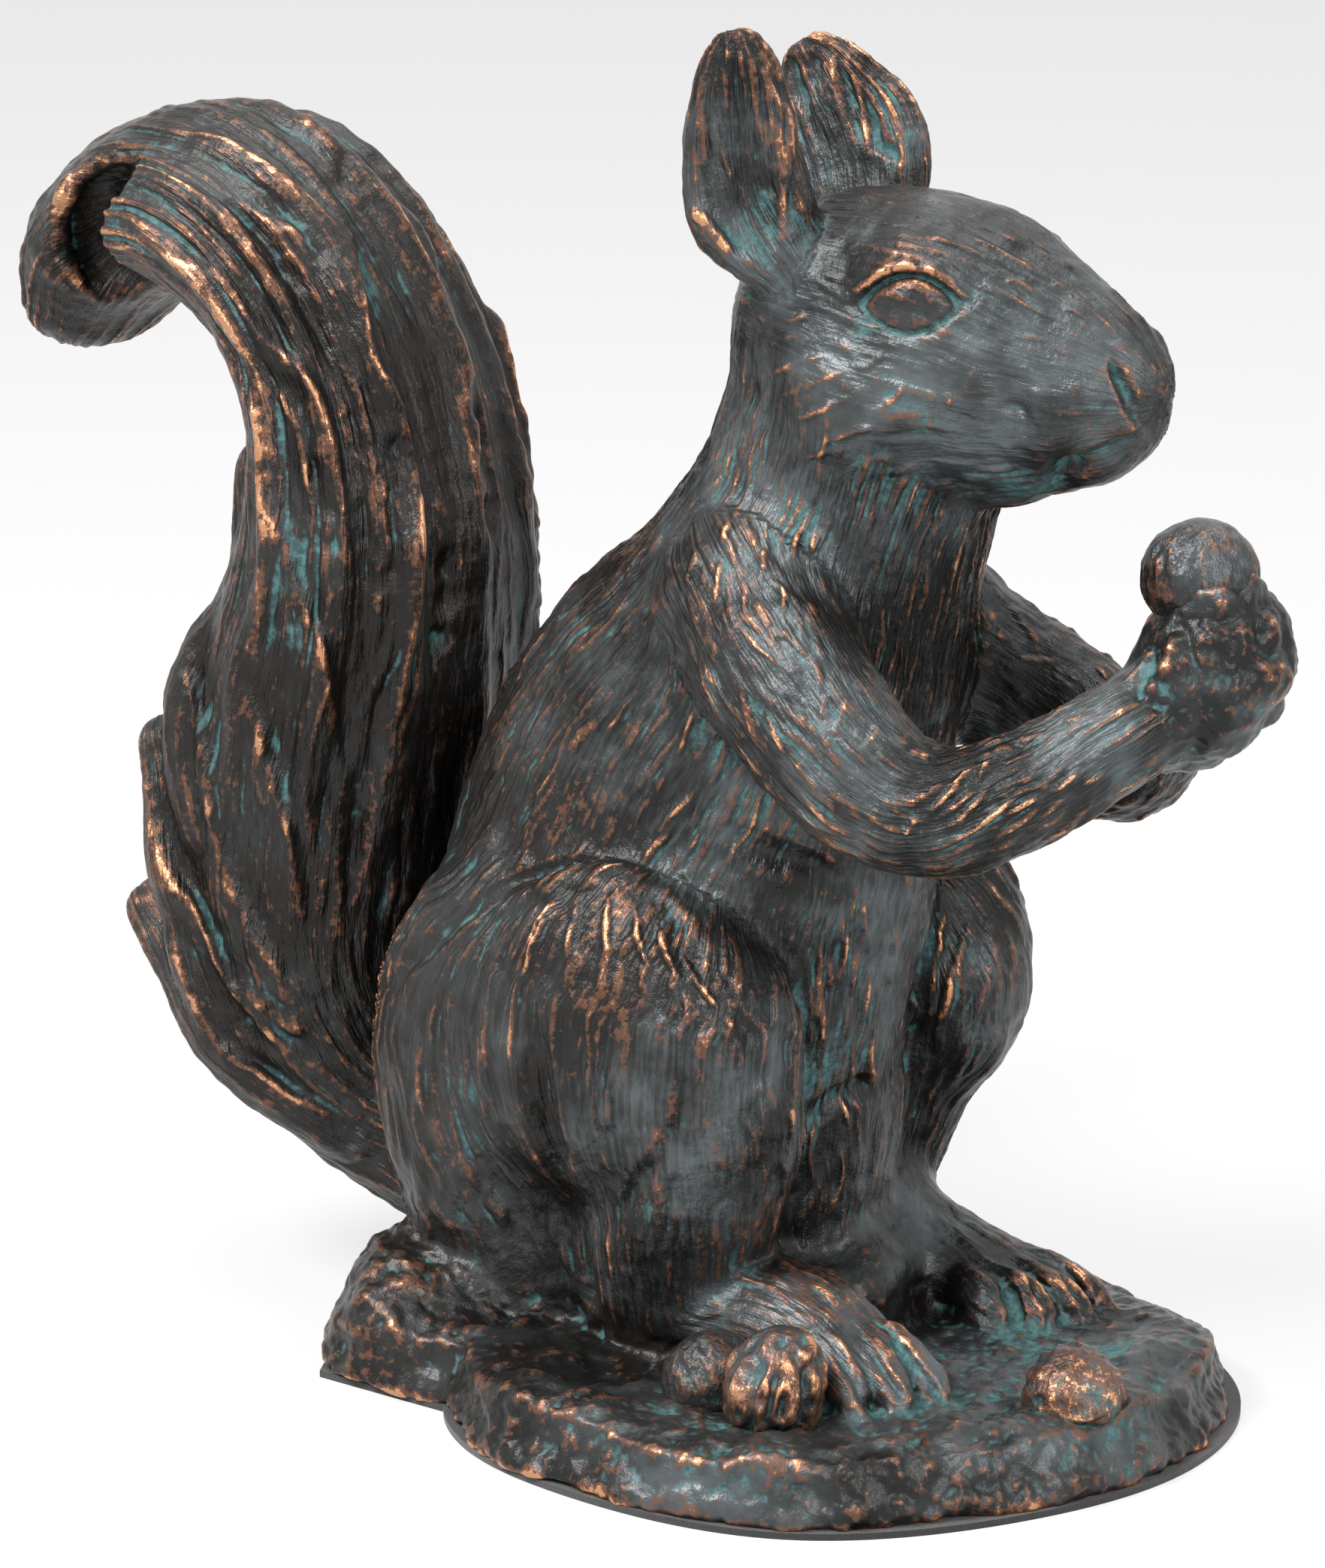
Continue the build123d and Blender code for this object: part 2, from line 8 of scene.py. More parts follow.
import bpy
import numpy as np
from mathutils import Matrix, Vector


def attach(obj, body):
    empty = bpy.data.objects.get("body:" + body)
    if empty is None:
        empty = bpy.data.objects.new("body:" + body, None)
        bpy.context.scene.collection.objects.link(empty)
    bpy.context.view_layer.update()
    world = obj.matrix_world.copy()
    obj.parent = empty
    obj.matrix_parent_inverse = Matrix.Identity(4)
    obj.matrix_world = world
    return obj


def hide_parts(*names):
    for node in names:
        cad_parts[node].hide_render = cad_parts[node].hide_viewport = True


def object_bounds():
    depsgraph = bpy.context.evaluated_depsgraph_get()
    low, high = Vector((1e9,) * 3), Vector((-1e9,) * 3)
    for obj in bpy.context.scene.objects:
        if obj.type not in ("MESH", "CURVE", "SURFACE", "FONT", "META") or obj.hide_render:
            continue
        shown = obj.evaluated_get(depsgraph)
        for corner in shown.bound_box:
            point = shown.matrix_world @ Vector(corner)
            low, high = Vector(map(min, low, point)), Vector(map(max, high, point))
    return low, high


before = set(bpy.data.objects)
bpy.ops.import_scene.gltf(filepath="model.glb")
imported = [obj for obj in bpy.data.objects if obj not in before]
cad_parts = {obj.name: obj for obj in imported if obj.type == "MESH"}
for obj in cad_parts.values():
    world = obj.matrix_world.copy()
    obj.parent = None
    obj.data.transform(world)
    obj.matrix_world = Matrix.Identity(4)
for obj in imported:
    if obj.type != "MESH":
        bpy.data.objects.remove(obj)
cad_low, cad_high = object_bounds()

# The near ear's top stands at this many percent of the nominal height, which gives one percent in metres
EAR_TOP = 99.65
PERCENT = cad_high.z / EAR_TOP

# The photograph's size in pixels and its camera, in percent of the figure's height and degrees
PHOTO_WIDTH, PHOTO_HEIGHT = 1764, 2088
AZIMUTH, ELEVATION = math.radians(36.0), math.radians(14.5)
CAMERA_DISTANCE = 462.4
CAMERA_TARGET = np.array([-11.56, -3.84, 43.6])
FOCAL_PIXELS = 8448.0
SENSOR = 36.0

# Mesh sizes, in percent: the first grid's cell, which two refinements quarter, and how far a tube's field reaches
CELL = 0.8
COARSE_RATIO = 4
FAR = 1e3
REACH = 4.0
# How near the surface, in coarse cells, the field is worked out finely, and how far a vertex settles at once
NEAR_CELLS, SETTLE_STEP = 1.15, 0.5


def camera_axes():
    """Right, up and backward directions of the photograph's camera"""
    right = np.array([math.cos(AZIMUTH), math.sin(AZIMUTH), 0.0])
    back = np.array([math.sin(AZIMUTH) * math.cos(ELEVATION), -math.cos(AZIMUTH) * math.cos(ELEVATION),
                     math.sin(ELEVATION)])
    return right, np.cross(back, right), back


RIGHT, UP, BACK = camera_axes()


def unit(vectors):
    """Vectors scaled to length one"""
    return vectors / np.maximum(np.linalg.norm(vectors, axis=-1, keepdims=True), 1e-12)


def smoothstep(low, high, value):
    """Smooth rise from 0 at low to 1 at high"""
    share = np.clip((value - low) / (high - low), 0, 1)
    return share * share * (3 - 2 * share)


def photo_pixels(points):
    """Where the photograph's camera sees points, in its pixels"""
    offset = points - CAMERA_TARGET
    depth = CAMERA_DISTANCE - offset @ BACK
    across = PHOTO_WIDTH / 2 + FOCAL_PIXELS * (offset @ RIGHT) / depth
    down = PHOTO_HEIGHT / 2 - FOCAL_PIXELS * (offset @ UP) / depth
    return np.stack([across, down], -1)


# Seeded noise

# Primes that mix the bits of a seed and of a cell's place
SEED_PRIME, PLACE_PRIMES, MIXERS = 374761393, (73856093, 19349663, 83492791), (2246822519, 3266489917)


def hashed(cells, seed):
    """Repeatable random value from 0 to 1 for integer cells"""
    mixed = np.full(cells.shape[:-1], seed * SEED_PRIME % 2**32, np.uint32)
    for axis, prime in zip(range(cells.shape[-1]), PLACE_PRIMES):
        mixed = mixed ^ (cells[..., axis].astype(np.int64) * prime % 2**32).astype(np.uint32)
        mixed = (mixed ^ (mixed >> 15)) * np.uint32(MIXERS[0])
        mixed = (mixed ^ (mixed >> 13)) * np.uint32(MIXERS[1])
        mixed = mixed ^ (mixed >> 16)
    return mixed / 2**32


def noise(points, size, seed):
    """Smooth value noise from -1 to 1 with cells of a size"""
    scaled = points / size
    cells = np.floor(scaled).astype(np.int64)
    part = scaled - cells
    part = part * part * (3 - 2 * part)
    total = np.zeros(len(points))
    for corner in np.ndindex(*(2,) * points.shape[1]):
        weight = np.prod(np.where(corner, part, 1 - part), axis=1)
        total += weight * hashed(cells + np.array(corner), seed)
    return 2 * total - 1


def rough(points, size, seed, octaves=3):
    """Noise summed over octaves"""
    return sum(noise(points, size / 2**step, seed + step) / 2**step for step in range(octaves))


def between(least_and_spread, share):
    """The least value with a share of the spread added"""
    return least_and_spread[0] + least_and_spread[1] * share


def uneven(points, middle, spread, size, seed):
    """Factor that wanders about its middle value"""
    return middle + spread * noise(points, size, seed)


# Distance fields

def smooth_union(first, second, blend):
    """Two distance fields joined with a fillet"""
    share = np.clip(0.5 + 0.5 * (second - first) / blend, 0, 1)
    return second + (first - second) * share - blend * share * (1 - share)


def smooth_cut(first, second, blend):
    """The first field with the second taken away"""
    return -smooth_union(-first, second, blend)


def spline(stations, steps):
    """Catmull-Rom curve through the stations"""
    rows = np.asarray(stations, float)
    rows = np.vstack([2 * rows[0] - rows[1], rows, 2 * rows[-1] - rows[-2]])
    found = []
    for index in range(1, len(rows) - 2):
        before, start, end, after = rows[index - 1:index + 3]
        for share in np.arange(steps) / steps:
            found.append(0.5 * (2 * start + (end - before) * share
                                + (2 * before - 5 * start + 4 * end - after) * share**2
                                + (3 * start - before - 3 * end + after) * share**3))
    found.append(rows[-2])
    return np.array(found)


def beside(points, start, end):
    """Share of the way along a segment that each point lies beside, and its offset from there"""
    span = end - start
    share = np.clip((points - start) @ span / max(span @ span, 1e-12), 0, 1)
    return share, points - start - share[:, None] * span


def within(points, low, high):
    """Indices of the points inside a box"""
    return np.nonzero(np.all((points > low) & (points < high), axis=1))[0]


def ellipsoid_distance(offset, radii, smallest):
    """Near distance to an ellipsoid from offsets in its own axes"""
    near = np.sqrt(((offset / radii) ** 2).sum(-1))
    slope = np.sqrt(((offset / radii**2) ** 2).sum(-1))
    return np.where(slope > 1e-9, near * (near - 1) / np.maximum(slope, 1e-9), -smallest)


class Tube:
    """Form that swells and tapers along a curve; stations hold x, y, z, half width and half depth"""

    def __init__(self, stations, side=(0, 1, 0), steps=4):
        rows = spline(stations, steps)
        self.points, self.radii = rows[:, :3], np.maximum(rows[:, 3:5], 0.05)
        self.along = unit(np.diff(self.points, axis=0))
        side = np.broadcast_to(np.asarray(side, float), self.along.shape)
        self.depth_axis = unit(np.cross(self.along, side))
        self.width_axis = np.cross(self.depth_axis, self.along)
        self.travel = np.r_[0, np.cumsum(np.linalg.norm(np.diff(self.points, axis=0), axis=1))]

    def __call__(self, query):
        return self.coordinates(query)[0]

    def coordinates(self, query):
        """Distance, travel along the form, and cosine and sine of the angle around it"""
        best = np.full(len(query), FAR)
        travel, cosine, sine = np.zeros(len(query)), np.ones(len(query)), np.zeros(len(query))
        reach = self.radii.max() + REACH
        inside = within(query, self.points.min(0) - reach, self.points.max(0) + reach)
        near = query[inside]
        for index in range(len(self.along)):
            start, end = self.points[index], self.points[index + 1]
            reach = self.radii[index:index + 2].max() + REACH
            reach += np.linalg.norm(end - start) / 2
            picked = np.nonzero(((near - (start + end) / 2) ** 2).sum(1) < reach**2)[0]
            if not len(picked):
                continue
            share, offset = beside(near[picked], start, end)
            radii = self.radii[index] + share[:, None] * (self.radii[index + 1] - self.radii[index])
            smallest = radii.min(1)
            local = np.stack([offset @ self.width_axis[index], offset @ self.depth_axis[index],
                              offset @ self.along[index]], -1)
            distance = ellipsoid_distance(local, np.column_stack([radii, smallest]), smallest)
            target = inside[picked]
            closer = distance < best[target]
            target = target[closer]
            best[target] = distance[closer]
            travel[target] = self.travel[index] + share[closer] * (self.travel[index + 1] - self.travel[index])
            across = local[closer, :2] / radii[closer]
            length = np.maximum(np.linalg.norm(across, axis=1), 1e-9)
            cosine[target], sine[target] = across[:, 0] / length, across[:, 1] / length
        return best, travel, cosine, sine


class Blob:
    """Ellipsoid with level axes"""

    def __init__(self, centre, radii):
        self.centre, self.radii = np.asarray(centre, float), np.asarray(radii, float)

    def __call__(self, query):
        return ellipsoid_distance(query - self.centre, self.radii, self.radii.min())


def mirrored(rows):
    """The same stations on the other side of the animal"""
    return [(row[0], -row[1], *row[2:]) for row in rows]


# Stations of the forms: x, y, z, half width across and half depth
TORSO = [
    (-13, 0, 5, 12.5, 15.5), (-13.8, 0, 16, 15, 18), (-13.5, 0, 26, 15.5, 18.8), (-11.8, 0, 36, 15, 18.8),
    (-8.6, 0, 45, 13.5, 17.5), (-4, 0, 53, 12, 14.2), (-0.6, 0, 60, 11, 11.9), (2.1, 0, 66.5, 10, 10.8),
    (4, 0, 73, 9.2, 10.7), (4.4, 0, 78, 8.5, 9.8),
]
HEAD = [
    (2.4, 0, 79.2, 8.5, 8.4), (5.5, 0, 78.8, 9.4, 9.8), (11, 0, 77.9, 9.3, 10.3), (15.5, 0, 76.9, 7.8, 9.3),
    (20, 0, 76.2, 6, 7.7), (23.4, 0, 75.9, 4.6, 6), (24.4, 0, 75.9, 3.7, 4.5),
]
TAIL = [
    (-28, 0, 9.5, 6, 6.2), (-34.2, 0, 12.2, 7.5, 7.4), (-41, 0, 17, 10, 8.7), (-45, 0, 25.5, 12.3, 10.8),
    (-45, 0, 36, 12.8, 11.9), (-42.6, 0, 47, 13.2, 11.2), (-40.3, 0, 56, 13.5, 9.6), (-40.1, 0, 64, 12.6, 7.8),
    (-42, 0, 71.5, 11.9, 6.8), (-46.9, 0, 77.8, 12, 7.2), (-53, 0, 81.3, 12, 7.2), (-59.8, 0, 81.4, 11.2, 6.8),
    (-64.9, 0, 78.2, 10, 6), (-67.8, 0, 73.8, 7.8, 4.4),
]
HIP = [(-20, -9, 8, 7.5, 8), (-21.5, -10, 20, 8.5, 10), (-20.2, -10, 28, 8.5, 10.3), (-17.5, -9.4, 33.5, 7, 8.5)]
# Upright core of a haunch, about which its fur runs
HAUNCH_CORE = [(-8, -8, 4, 10, 12), (-9, -9, 16, 11, 14), (-10, -9, 28, 12, 15), (-5, -7, 42, 9, 10)]
NEAR_THIGH = [(-15, -12, 27, 8, 12), (-8, -13.5, 27.5, 8, 13), (-2.5, -13.5, 26, 7, 11)]
NEAR_SHANK = [(-1, -13, 29, 6, 7), (-1.6, -13, 21, 6.3, 7.5), (-5, -12, 10, 5.5, 7)]
FAR_THIGH = [(-11, 12, 27, 8, 12), (-4, 13, 28.5, 8, 12), (1.4, 13.2, 29.4, 7, 10.8)]
FAR_SHANK = [(0.9, 12.5, 28.6, 6, 6), (-1.5, 12.5, 21, 6, 6.1), (-5.2, 11.5, 10, 5.2, 5.6)]
NEAR_FOOT = [
    (-8, -11, 8, 4.5, 4.5), (0, -11.5, 7.6, 4.8, 4.2), (6, -12, 7.9, 5.2, 4.2), (10, -12.6, 7, 5, 3.7),
    (12.4, -13, 6, 4.2, 2.7),
]
FAR_FOOT = [
    (-6, 10.5, 8, 4.5, 4), (1.5, 9.5, 7.4, 4.6, 4), (8, 9, 6.3, 5, 3.4), (12, 8.8, 5.2, 5, 2.5),
    (14, 8.6, 4.5, 4.2, 1.8),
]
ARM = [
    (-1, -9, 60.5, 5, 6.3), (5, -12, 55.5, 5, 6.3), (12, -13.5, 50, 4.6, 5.6), (18, -12, 47.8, 4.4, 4.6),
    (24, -8.5, 50.1, 3.9, 4), (29, -5, 54, 3.6, 3.7),
]
FAR_ARM = [
    (-1, 9, 58.6, 5.4, 5.8), (5, 11.5, 53, 4.6, 5.6), (12, 13, 48.6, 4.4, 5.9), (18, 12, 47.2, 4.2, 5.1),
    (24, 8.5, 51.2, 3.6, 3.6), (29, 5, 54.8, 3.5, 3.4),
]
PAWS = [(27.6, 0, 53.4, 4.6, 3.2), (30.8, 0, 55.2, 6, 4.9), (32.4, 0, 57.6, 6.1, 5.4), (33, 0, 60.2, 5, 4.6)]
NEAR_EAR = [
    (1.8, -6.7, 83.3, 2.4, 2.4), (-0.8, -7.8, 87, 4.5, 3), (-1.4, -8.3, 91, 4.2, 2.6),
    (-1.4, -8.6, 94.6, 3.7, 2), (-1.4, -8.8, 97.6, 2.9, 1.5), (-1.4, -9, 99.3, 1.8, 0.9),
]
NEAR_SCOOP = [
    (1.5, -11.2, 84.8, 2.1, 2.1), (0.2, -11.4, 87.5, 3.2, 2.7), (-0.1, -11.1, 91, 3, 2.1),
    (-0.3, -10.9, 94.5, 2.4, 1.5), (-0.4, -10.8, 97, 1.4, 1.1),
]
FAR_EAR = [
    (-0.2, 6, 84, 4.4, 2.2), (-2, 6.8, 89, 6.1, 1.7), (-4.4, 7.4, 92.4, 5.3, 1.4), (-6.1, 7.5, 95, 3.9, 1.1),
    (-7, 7.5, 96.4, 2.5, 0.8),
]
FAR_SCOOP = [(-1.9, 8.6, 88.5, 4, 1), (-3.2, 9, 91.6, 3.7, 0.9), (-4.6, 9, 94.2, 2.4, 0.8)]
WEB = [(0, -8, 7.5, 3, 3.2), (3.4, -2.5, 7, 4, 3.2), (3.4, 3, 7.8, 3.6, 3.2), (0.8, 8.5, 10.5, 3, 3)]
NEAR_EAR_SIDE = (0.86, 0.50, 0)
FAR_EAR_SIDE = (1, 0, 0)

# Locks that peel off the back of the tail, on both sides
LOCKS = [
    [(-40.5, -7, 14, 3, 3), (-46.6, -9, 18.4, 3.4, 3), (-52, -8.8, 23.8, 3, 2.8), (-55.8, -8.4, 27.8, 2.6, 2.5)],
    [(-46, -9, 20, 3.4, 3), (-49.4, -9.8, 27.5, 3.8, 3.2), (-52.2, -8.8, 35, 3.6, 3), (-54.6, -8.2, 41.2, 2.6, 2.3)],
    [(-48.5, -9.6, 36, 3.8, 2.8), (-50.6, -8.8, 42, 4, 3), (-50.4, -7.6, 48, 3.4, 2.8), (-47.6, -6.4, 53.6, 2.4, 2)],
    [(-45.5, -7, 51, 3, 2.6), (-46.4, -6.6, 57.5, 2.7, 2.3), (-46.6, -6.6, 63.2, 2.2, 1.8)],
]
# Ribs along the tail, in shares of a turn about it, with the travel along the tail where they start and end
RIB_TURNS = [0.010, 0.840, 0.922, 0.750, 0.578, 0.660, 0.490]
RIB_START, RIB_END, RIB_RAMP = 34, 90, 5.0
RIB_WIDTH, RIB_HEIGHT, RIB_WANDER = 0.02, 0.75, (0.012, 9, 71)
# Hollow under the tail's curl, open to the near side, and its mate on the far side
CURL_HOLLOW = [
    (-57.6, -10.4, 85.2, 2.6, 1.6), (-60.2, -9.6, 82.4, 3.4, 2.5), (-61, -9, 78.8, 4, 3),
    (-59.4, -8.8, 75.8, 4.2, 2.7), (-55.2, -8.8, 73.6, 3.6, 2), (-51.4, -9, 72.8, 2.6, 1.3),
]
# Upright crease between haunch and shank, and how far the far leg stands ahead of the near one
CREASE_CUT = [
    (-10.4, -22.6, 31, 0.8, 1.6), (-10.4, -21.9, 26, 1.6, 2.3), (-10.3, -21.2, 19.5, 1.9, 3.3),
    (-10.2, -20.2, 13, 1.9, 4.6), (-10, -19.2, 7, 1.8, 4.6),
]
STANCE = 3.0
# Toes from root to tip, then the share of the way, height, half width and half depth of their stations
NEAR_TOES = [((7, -14.6), (11.4, -18)), ((8.6, -13.6), (15.2, -17.8)), ((9.8, -12.2), (17.4, -15.2)),
             ((10.4, -10.6), (18.2, -12))]
FAR_TOES = [((9.6, 5), (14, 3)), ((10.2, 7), (16.8, 5.4)), ((10.4, 9.2), (18.2, 8.2)),
            ((10, 11.4), (17.8, 11.2))]
TOE_STATIONS = [(0, 7.6, 1.5, 1.9), (0.45, 7.4, 1.45, 2), (0.78, 6.3, 1.5, 1.8), (0.96, 5.2, 1.3, 1.3)]
FAR_TOE_DROP = 1.0

# Ground slab: outline, its centre, heights in percent, the slant of its edge and the roughness of edge and top
OUTLINE = [
    (-16.6, -24), (-9, -30), (1, -32.5), (18, -30.3), (29.5, -17.5), (33, -3.8), (28.5, 11.7),
    (17, 21), (-3, 24), (-21, 20.5), (-31, 12), (-34, 0), (-33, -12), (-28.5, -23.5),
]
OUTLINE_CENTRE = np.array([-1, -3.5])
SLAB_BOTTOM = 0.5
SKIN_BOTTOM = 0.3
EDGE_SLANT, EDGE_ROUGHNESS, TOP_ROUGHNESS = 0.28, 0.5, 0.5
RIM_HEIGHT, RIM_PLACE, RIM_WIDTH = 0.8, 0.90, 0.07
FRONT_DIP = 2.4
SLAB_TOP = 4.9
MOUND_CENTRE, MOUND_RADII, MOUND_HEIGHT = np.array([-24.5, -4.0]), np.array([10.0, 21.0]), 3.4
# Heights between which the edge starts to slant, its inset, and size and seed of the grain of edge and top
EDGE_RAMP, EDGE_INSET, EDGE_LENGTH, EDGE_GRAIN, TOP_GRAIN = (1.0, 3.0), 0.2, 9, (2.2, 8), (5.0, 3)
# Where the top dips to the far side and to the front, and where the mound ends
DIP_SIDE, DIP_FRONT, MOUND_FADE = (10, 20), (-4, 12), (1.05, 0.72)
# Shares that keep the field of edge and top close to a true distance
EDGE_SCALE, TOP_SCALE = 0.93, 0.85


def moved(rows, step):
    """The same stations further forward"""
    return [(row[0] + step, *row[1:]) for row in rows]


def slab(query):
    """Ground slab with a rough rim, a shallow dish and a mound under the tail"""
    offset = spline(OUTLINE + OUTLINE[:1], 6)[:-1] - OUTLINE_CENTRE
    angles, lengths = np.arctan2(offset[:, 1], offset[:, 0]), np.hypot(offset[:, 0], offset[:, 1])
    order = np.argsort(angles)
    x, y, z = query.T
    place = query[:, :2] - OUTLINE_CENTRE
    angle, length = np.arctan2(place[:, 1], place[:, 0]), np.hypot(place[:, 0], place[:, 1])
    limit = np.interp(angle, angles[order], lengths[order], period=2 * math.pi)
    limit = limit - EDGE_SLANT * (z - SLAB_BOTTOM) * smoothstep(*EDGE_RAMP, z)
    around = np.column_stack([angle * EDGE_LENGTH, z, z * 0])
    limit = limit + EDGE_ROUGHNESS * noise(around, *EDGE_GRAIN) - EDGE_INSET
    top = SLAB_TOP + RIM_HEIGHT * np.exp(-((length / limit - RIM_PLACE) / RIM_WIDTH) ** 2)
    top = top + TOP_ROUGHNESS * noise(np.column_stack([x, y, z * 0]), *TOP_GRAIN)
    top = top - FRONT_DIP * smoothstep(*DIP_SIDE, y) * smoothstep(*DIP_FRONT, x)
    apart = np.linalg.norm((query[:, :2] - MOUND_CENTRE) / MOUND_RADII, axis=1)
    top = top + MOUND_HEIGHT * smoothstep(*MOUND_FADE, apart)
    return np.maximum(np.maximum((length - limit) * EDGE_SCALE, (z - top) * TOP_SCALE), SLAB_BOTTOM - z)


def toe(root, tip, drop):
    """Toe that runs forward from the middle of a foot"""
    root, tip = np.array(root), np.array(tip)
    return Tube([(*(root + (tip - root) * share), height - drop, wide, deep)
                 for share, height, wide, deep in TOE_STATIONS])


# Swellings of the face: centre on the near side, radii and fillet
PAIRED_BLOBS = {
    "brow": ((11.2, -5.6, 84.0), (4.4, 3.2, 2.2), 1.5),
    "pad": ((20.6, -3.0, 74.4), (3.6, 3.2, 3.0), 1.4),
    "cheek": ((7.6, -7.0, 74.6), (5.2, 3.6, 4.6), 2.4),
}
MIDDLE_BLOBS = {"chin": ((15.6, 0, 69.3), (3.4, 2.8, 2.2), 1.2), "nose": ((25.7, 0, 77.2), (2.5, 2.6, 2.3), 1.0)}


def make_forms():
    """Each form as name, piece group, field and fillet"""
    forms = [(name, group, Tube(rows), blend) for name, group, rows, blend in (
        ("torso", "torso", TORSO, 2.0),
        ("head", "head", HEAD, 2.0),
        ("tail", "tail", TAIL, 2.5),
        ("near_thigh", "right_haunch", NEAR_THIGH, 2.0),
        ("far_thigh", "left_haunch", FAR_THIGH, 2.0),
        ("near_hip", "right_haunch", HIP, 2.0),
        ("far_hip", "left_haunch", mirrored(HIP), 2.0),
        ("near_shank", "right_haunch", NEAR_SHANK, 2.0),
        ("far_shank", "left_haunch", FAR_SHANK, 2.0),
        ("near_foot", "right_hind_foot", NEAR_FOOT, 1.6),
        ("far_foot", "left_hind_foot", FAR_FOOT, 1.6),
        ("near_arm", "right_foreleg", ARM, 3.0),
        ("far_arm", "left_foreleg", FAR_ARM, 3.0),
        ("paws", "paws", PAWS, 1.5),
        ("web", "base_casting", WEB, 2.6),
    )]
    for side, place in (("near", list), ("far", mirrored)):
        forms += [(f"{side}_lock_{index}", "tail", Tube(place(rows)), 0.8) for index, rows in enumerate(LOCKS)]
        forms += [(f"{side}_{name}", "head", Blob(place([centre])[0], radii), blend)
                  for name, (centre, radii, blend) in PAIRED_BLOBS.items()]
    forms += [(name, "head", Blob(centre, radii), blend) for name, (centre, radii, blend) in MIDDLE_BLOBS.items()]
    for side, foot, toes, drop, blend in (("near", "right_hind_foot", NEAR_TOES, 0, 0.6),
                                          ("far", "left_hind_foot", FAR_TOES, FAR_TOE_DROP, 0.45)):
        forms += [(f"{side}_toe_{index}", foot, toe(root, tip, drop), blend)
                  for index, (root, tip) in enumerate(toes)]
    return forms


FORMS = make_forms()
HAUNCH_FLOW = {
    "near_haunch": ("right_haunch", Tube(HAUNCH_CORE)),
    "far_haunch": ("left_haunch", Tube(moved(mirrored(HAUNCH_CORE), STANCE))),
}
NEAR_EAR_FORM = Tube(NEAR_EAR, NEAR_EAR_SIDE)
FAR_EAR_FORM = Tube(FAR_EAR, FAR_EAR_SIDE)
EAR_CUTS = {"near_ear": Tube(NEAR_SCOOP, NEAR_EAR_SIDE), "far_ear": Tube(FAR_SCOOP, FAR_EAR_SIDE)}
# Fillets of the hollows, of the ears' scoops and of the ears' roots
HOLLOW_BLEND, SCOOP_BLEND, EAR_BLEND = 1.0, 0.5, 1.3
HOLLOWS = [Tube(CURL_HOLLOW), Tube(mirrored(CURL_HOLLOW)),
           Tube(CREASE_CUT, (1, 0, 0)), Tube(mirrored(moved(CREASE_CUT, STANCE)), (1, 0, 0))]


def figure(query):
    """Distance to the whole figure"""
    total = slab(query)
    for name, group, form, blend in FORMS:
        total = smooth_union(total, form(query), blend)
    for hollow in HOLLOWS:
        total = smooth_cut(total, hollow(query), HOLLOW_BLEND)
    near = smooth_cut(NEAR_EAR_FORM(query), EAR_CUTS["near_ear"](query), SCOOP_BLEND)
    far = smooth_cut(FAR_EAR_FORM(query), EAR_CUTS["far_ear"](query), SCOOP_BLEND)
    total = smooth_union(smooth_union(total, near, EAR_BLEND), far, EAR_BLEND)
    return np.maximum(total, SLAB_BOTTOM - query[:, 2])


# Meshing

GRID_LOW, GRID_HIGH = np.array([-80.0, -38.0, -2.0]), np.array([46.0, 30.0, 104.0])


def sampled(low, size, counts):
    """Points of a regular grid"""
    axes = [low[axis] + size * np.arange(counts[axis]) for axis in range(3)]
    return np.stack(np.meshgrid(*axes, indexing="ij"), -1).reshape(-1, 3)


def fine_grid(field):
    """Field on the fine grid, worked out only near the surface"""
    coarse_size = CELL * COARSE_RATIO
    counts = np.ceil((GRID_HIGH - GRID_LOW) / coarse_size).astype(int) + 1
    coarse = field(sampled(GRID_LOW, coarse_size, counts)).reshape(counts)
    positions = [np.arange((count - 1) * COARSE_RATIO + 1) / COARSE_RATIO for count in counts]
    values = coarse
    for axis in range(3):
        lower = np.minimum(positions[axis].astype(int), counts[axis] - 2)
        share = (positions[axis] - lower).reshape([-1 if other == axis else 1 for other in range(3)])
        values = np.take(values, lower, axis) * (1 - share) + np.take(values, lower + 1, axis) * share
    wanted = np.abs(values) < coarse_size * NEAR_CELLS
    cells = np.stack(np.nonzero(wanted), -1)
    values[wanted] = field(GRID_LOW + CELL * cells)
    return values


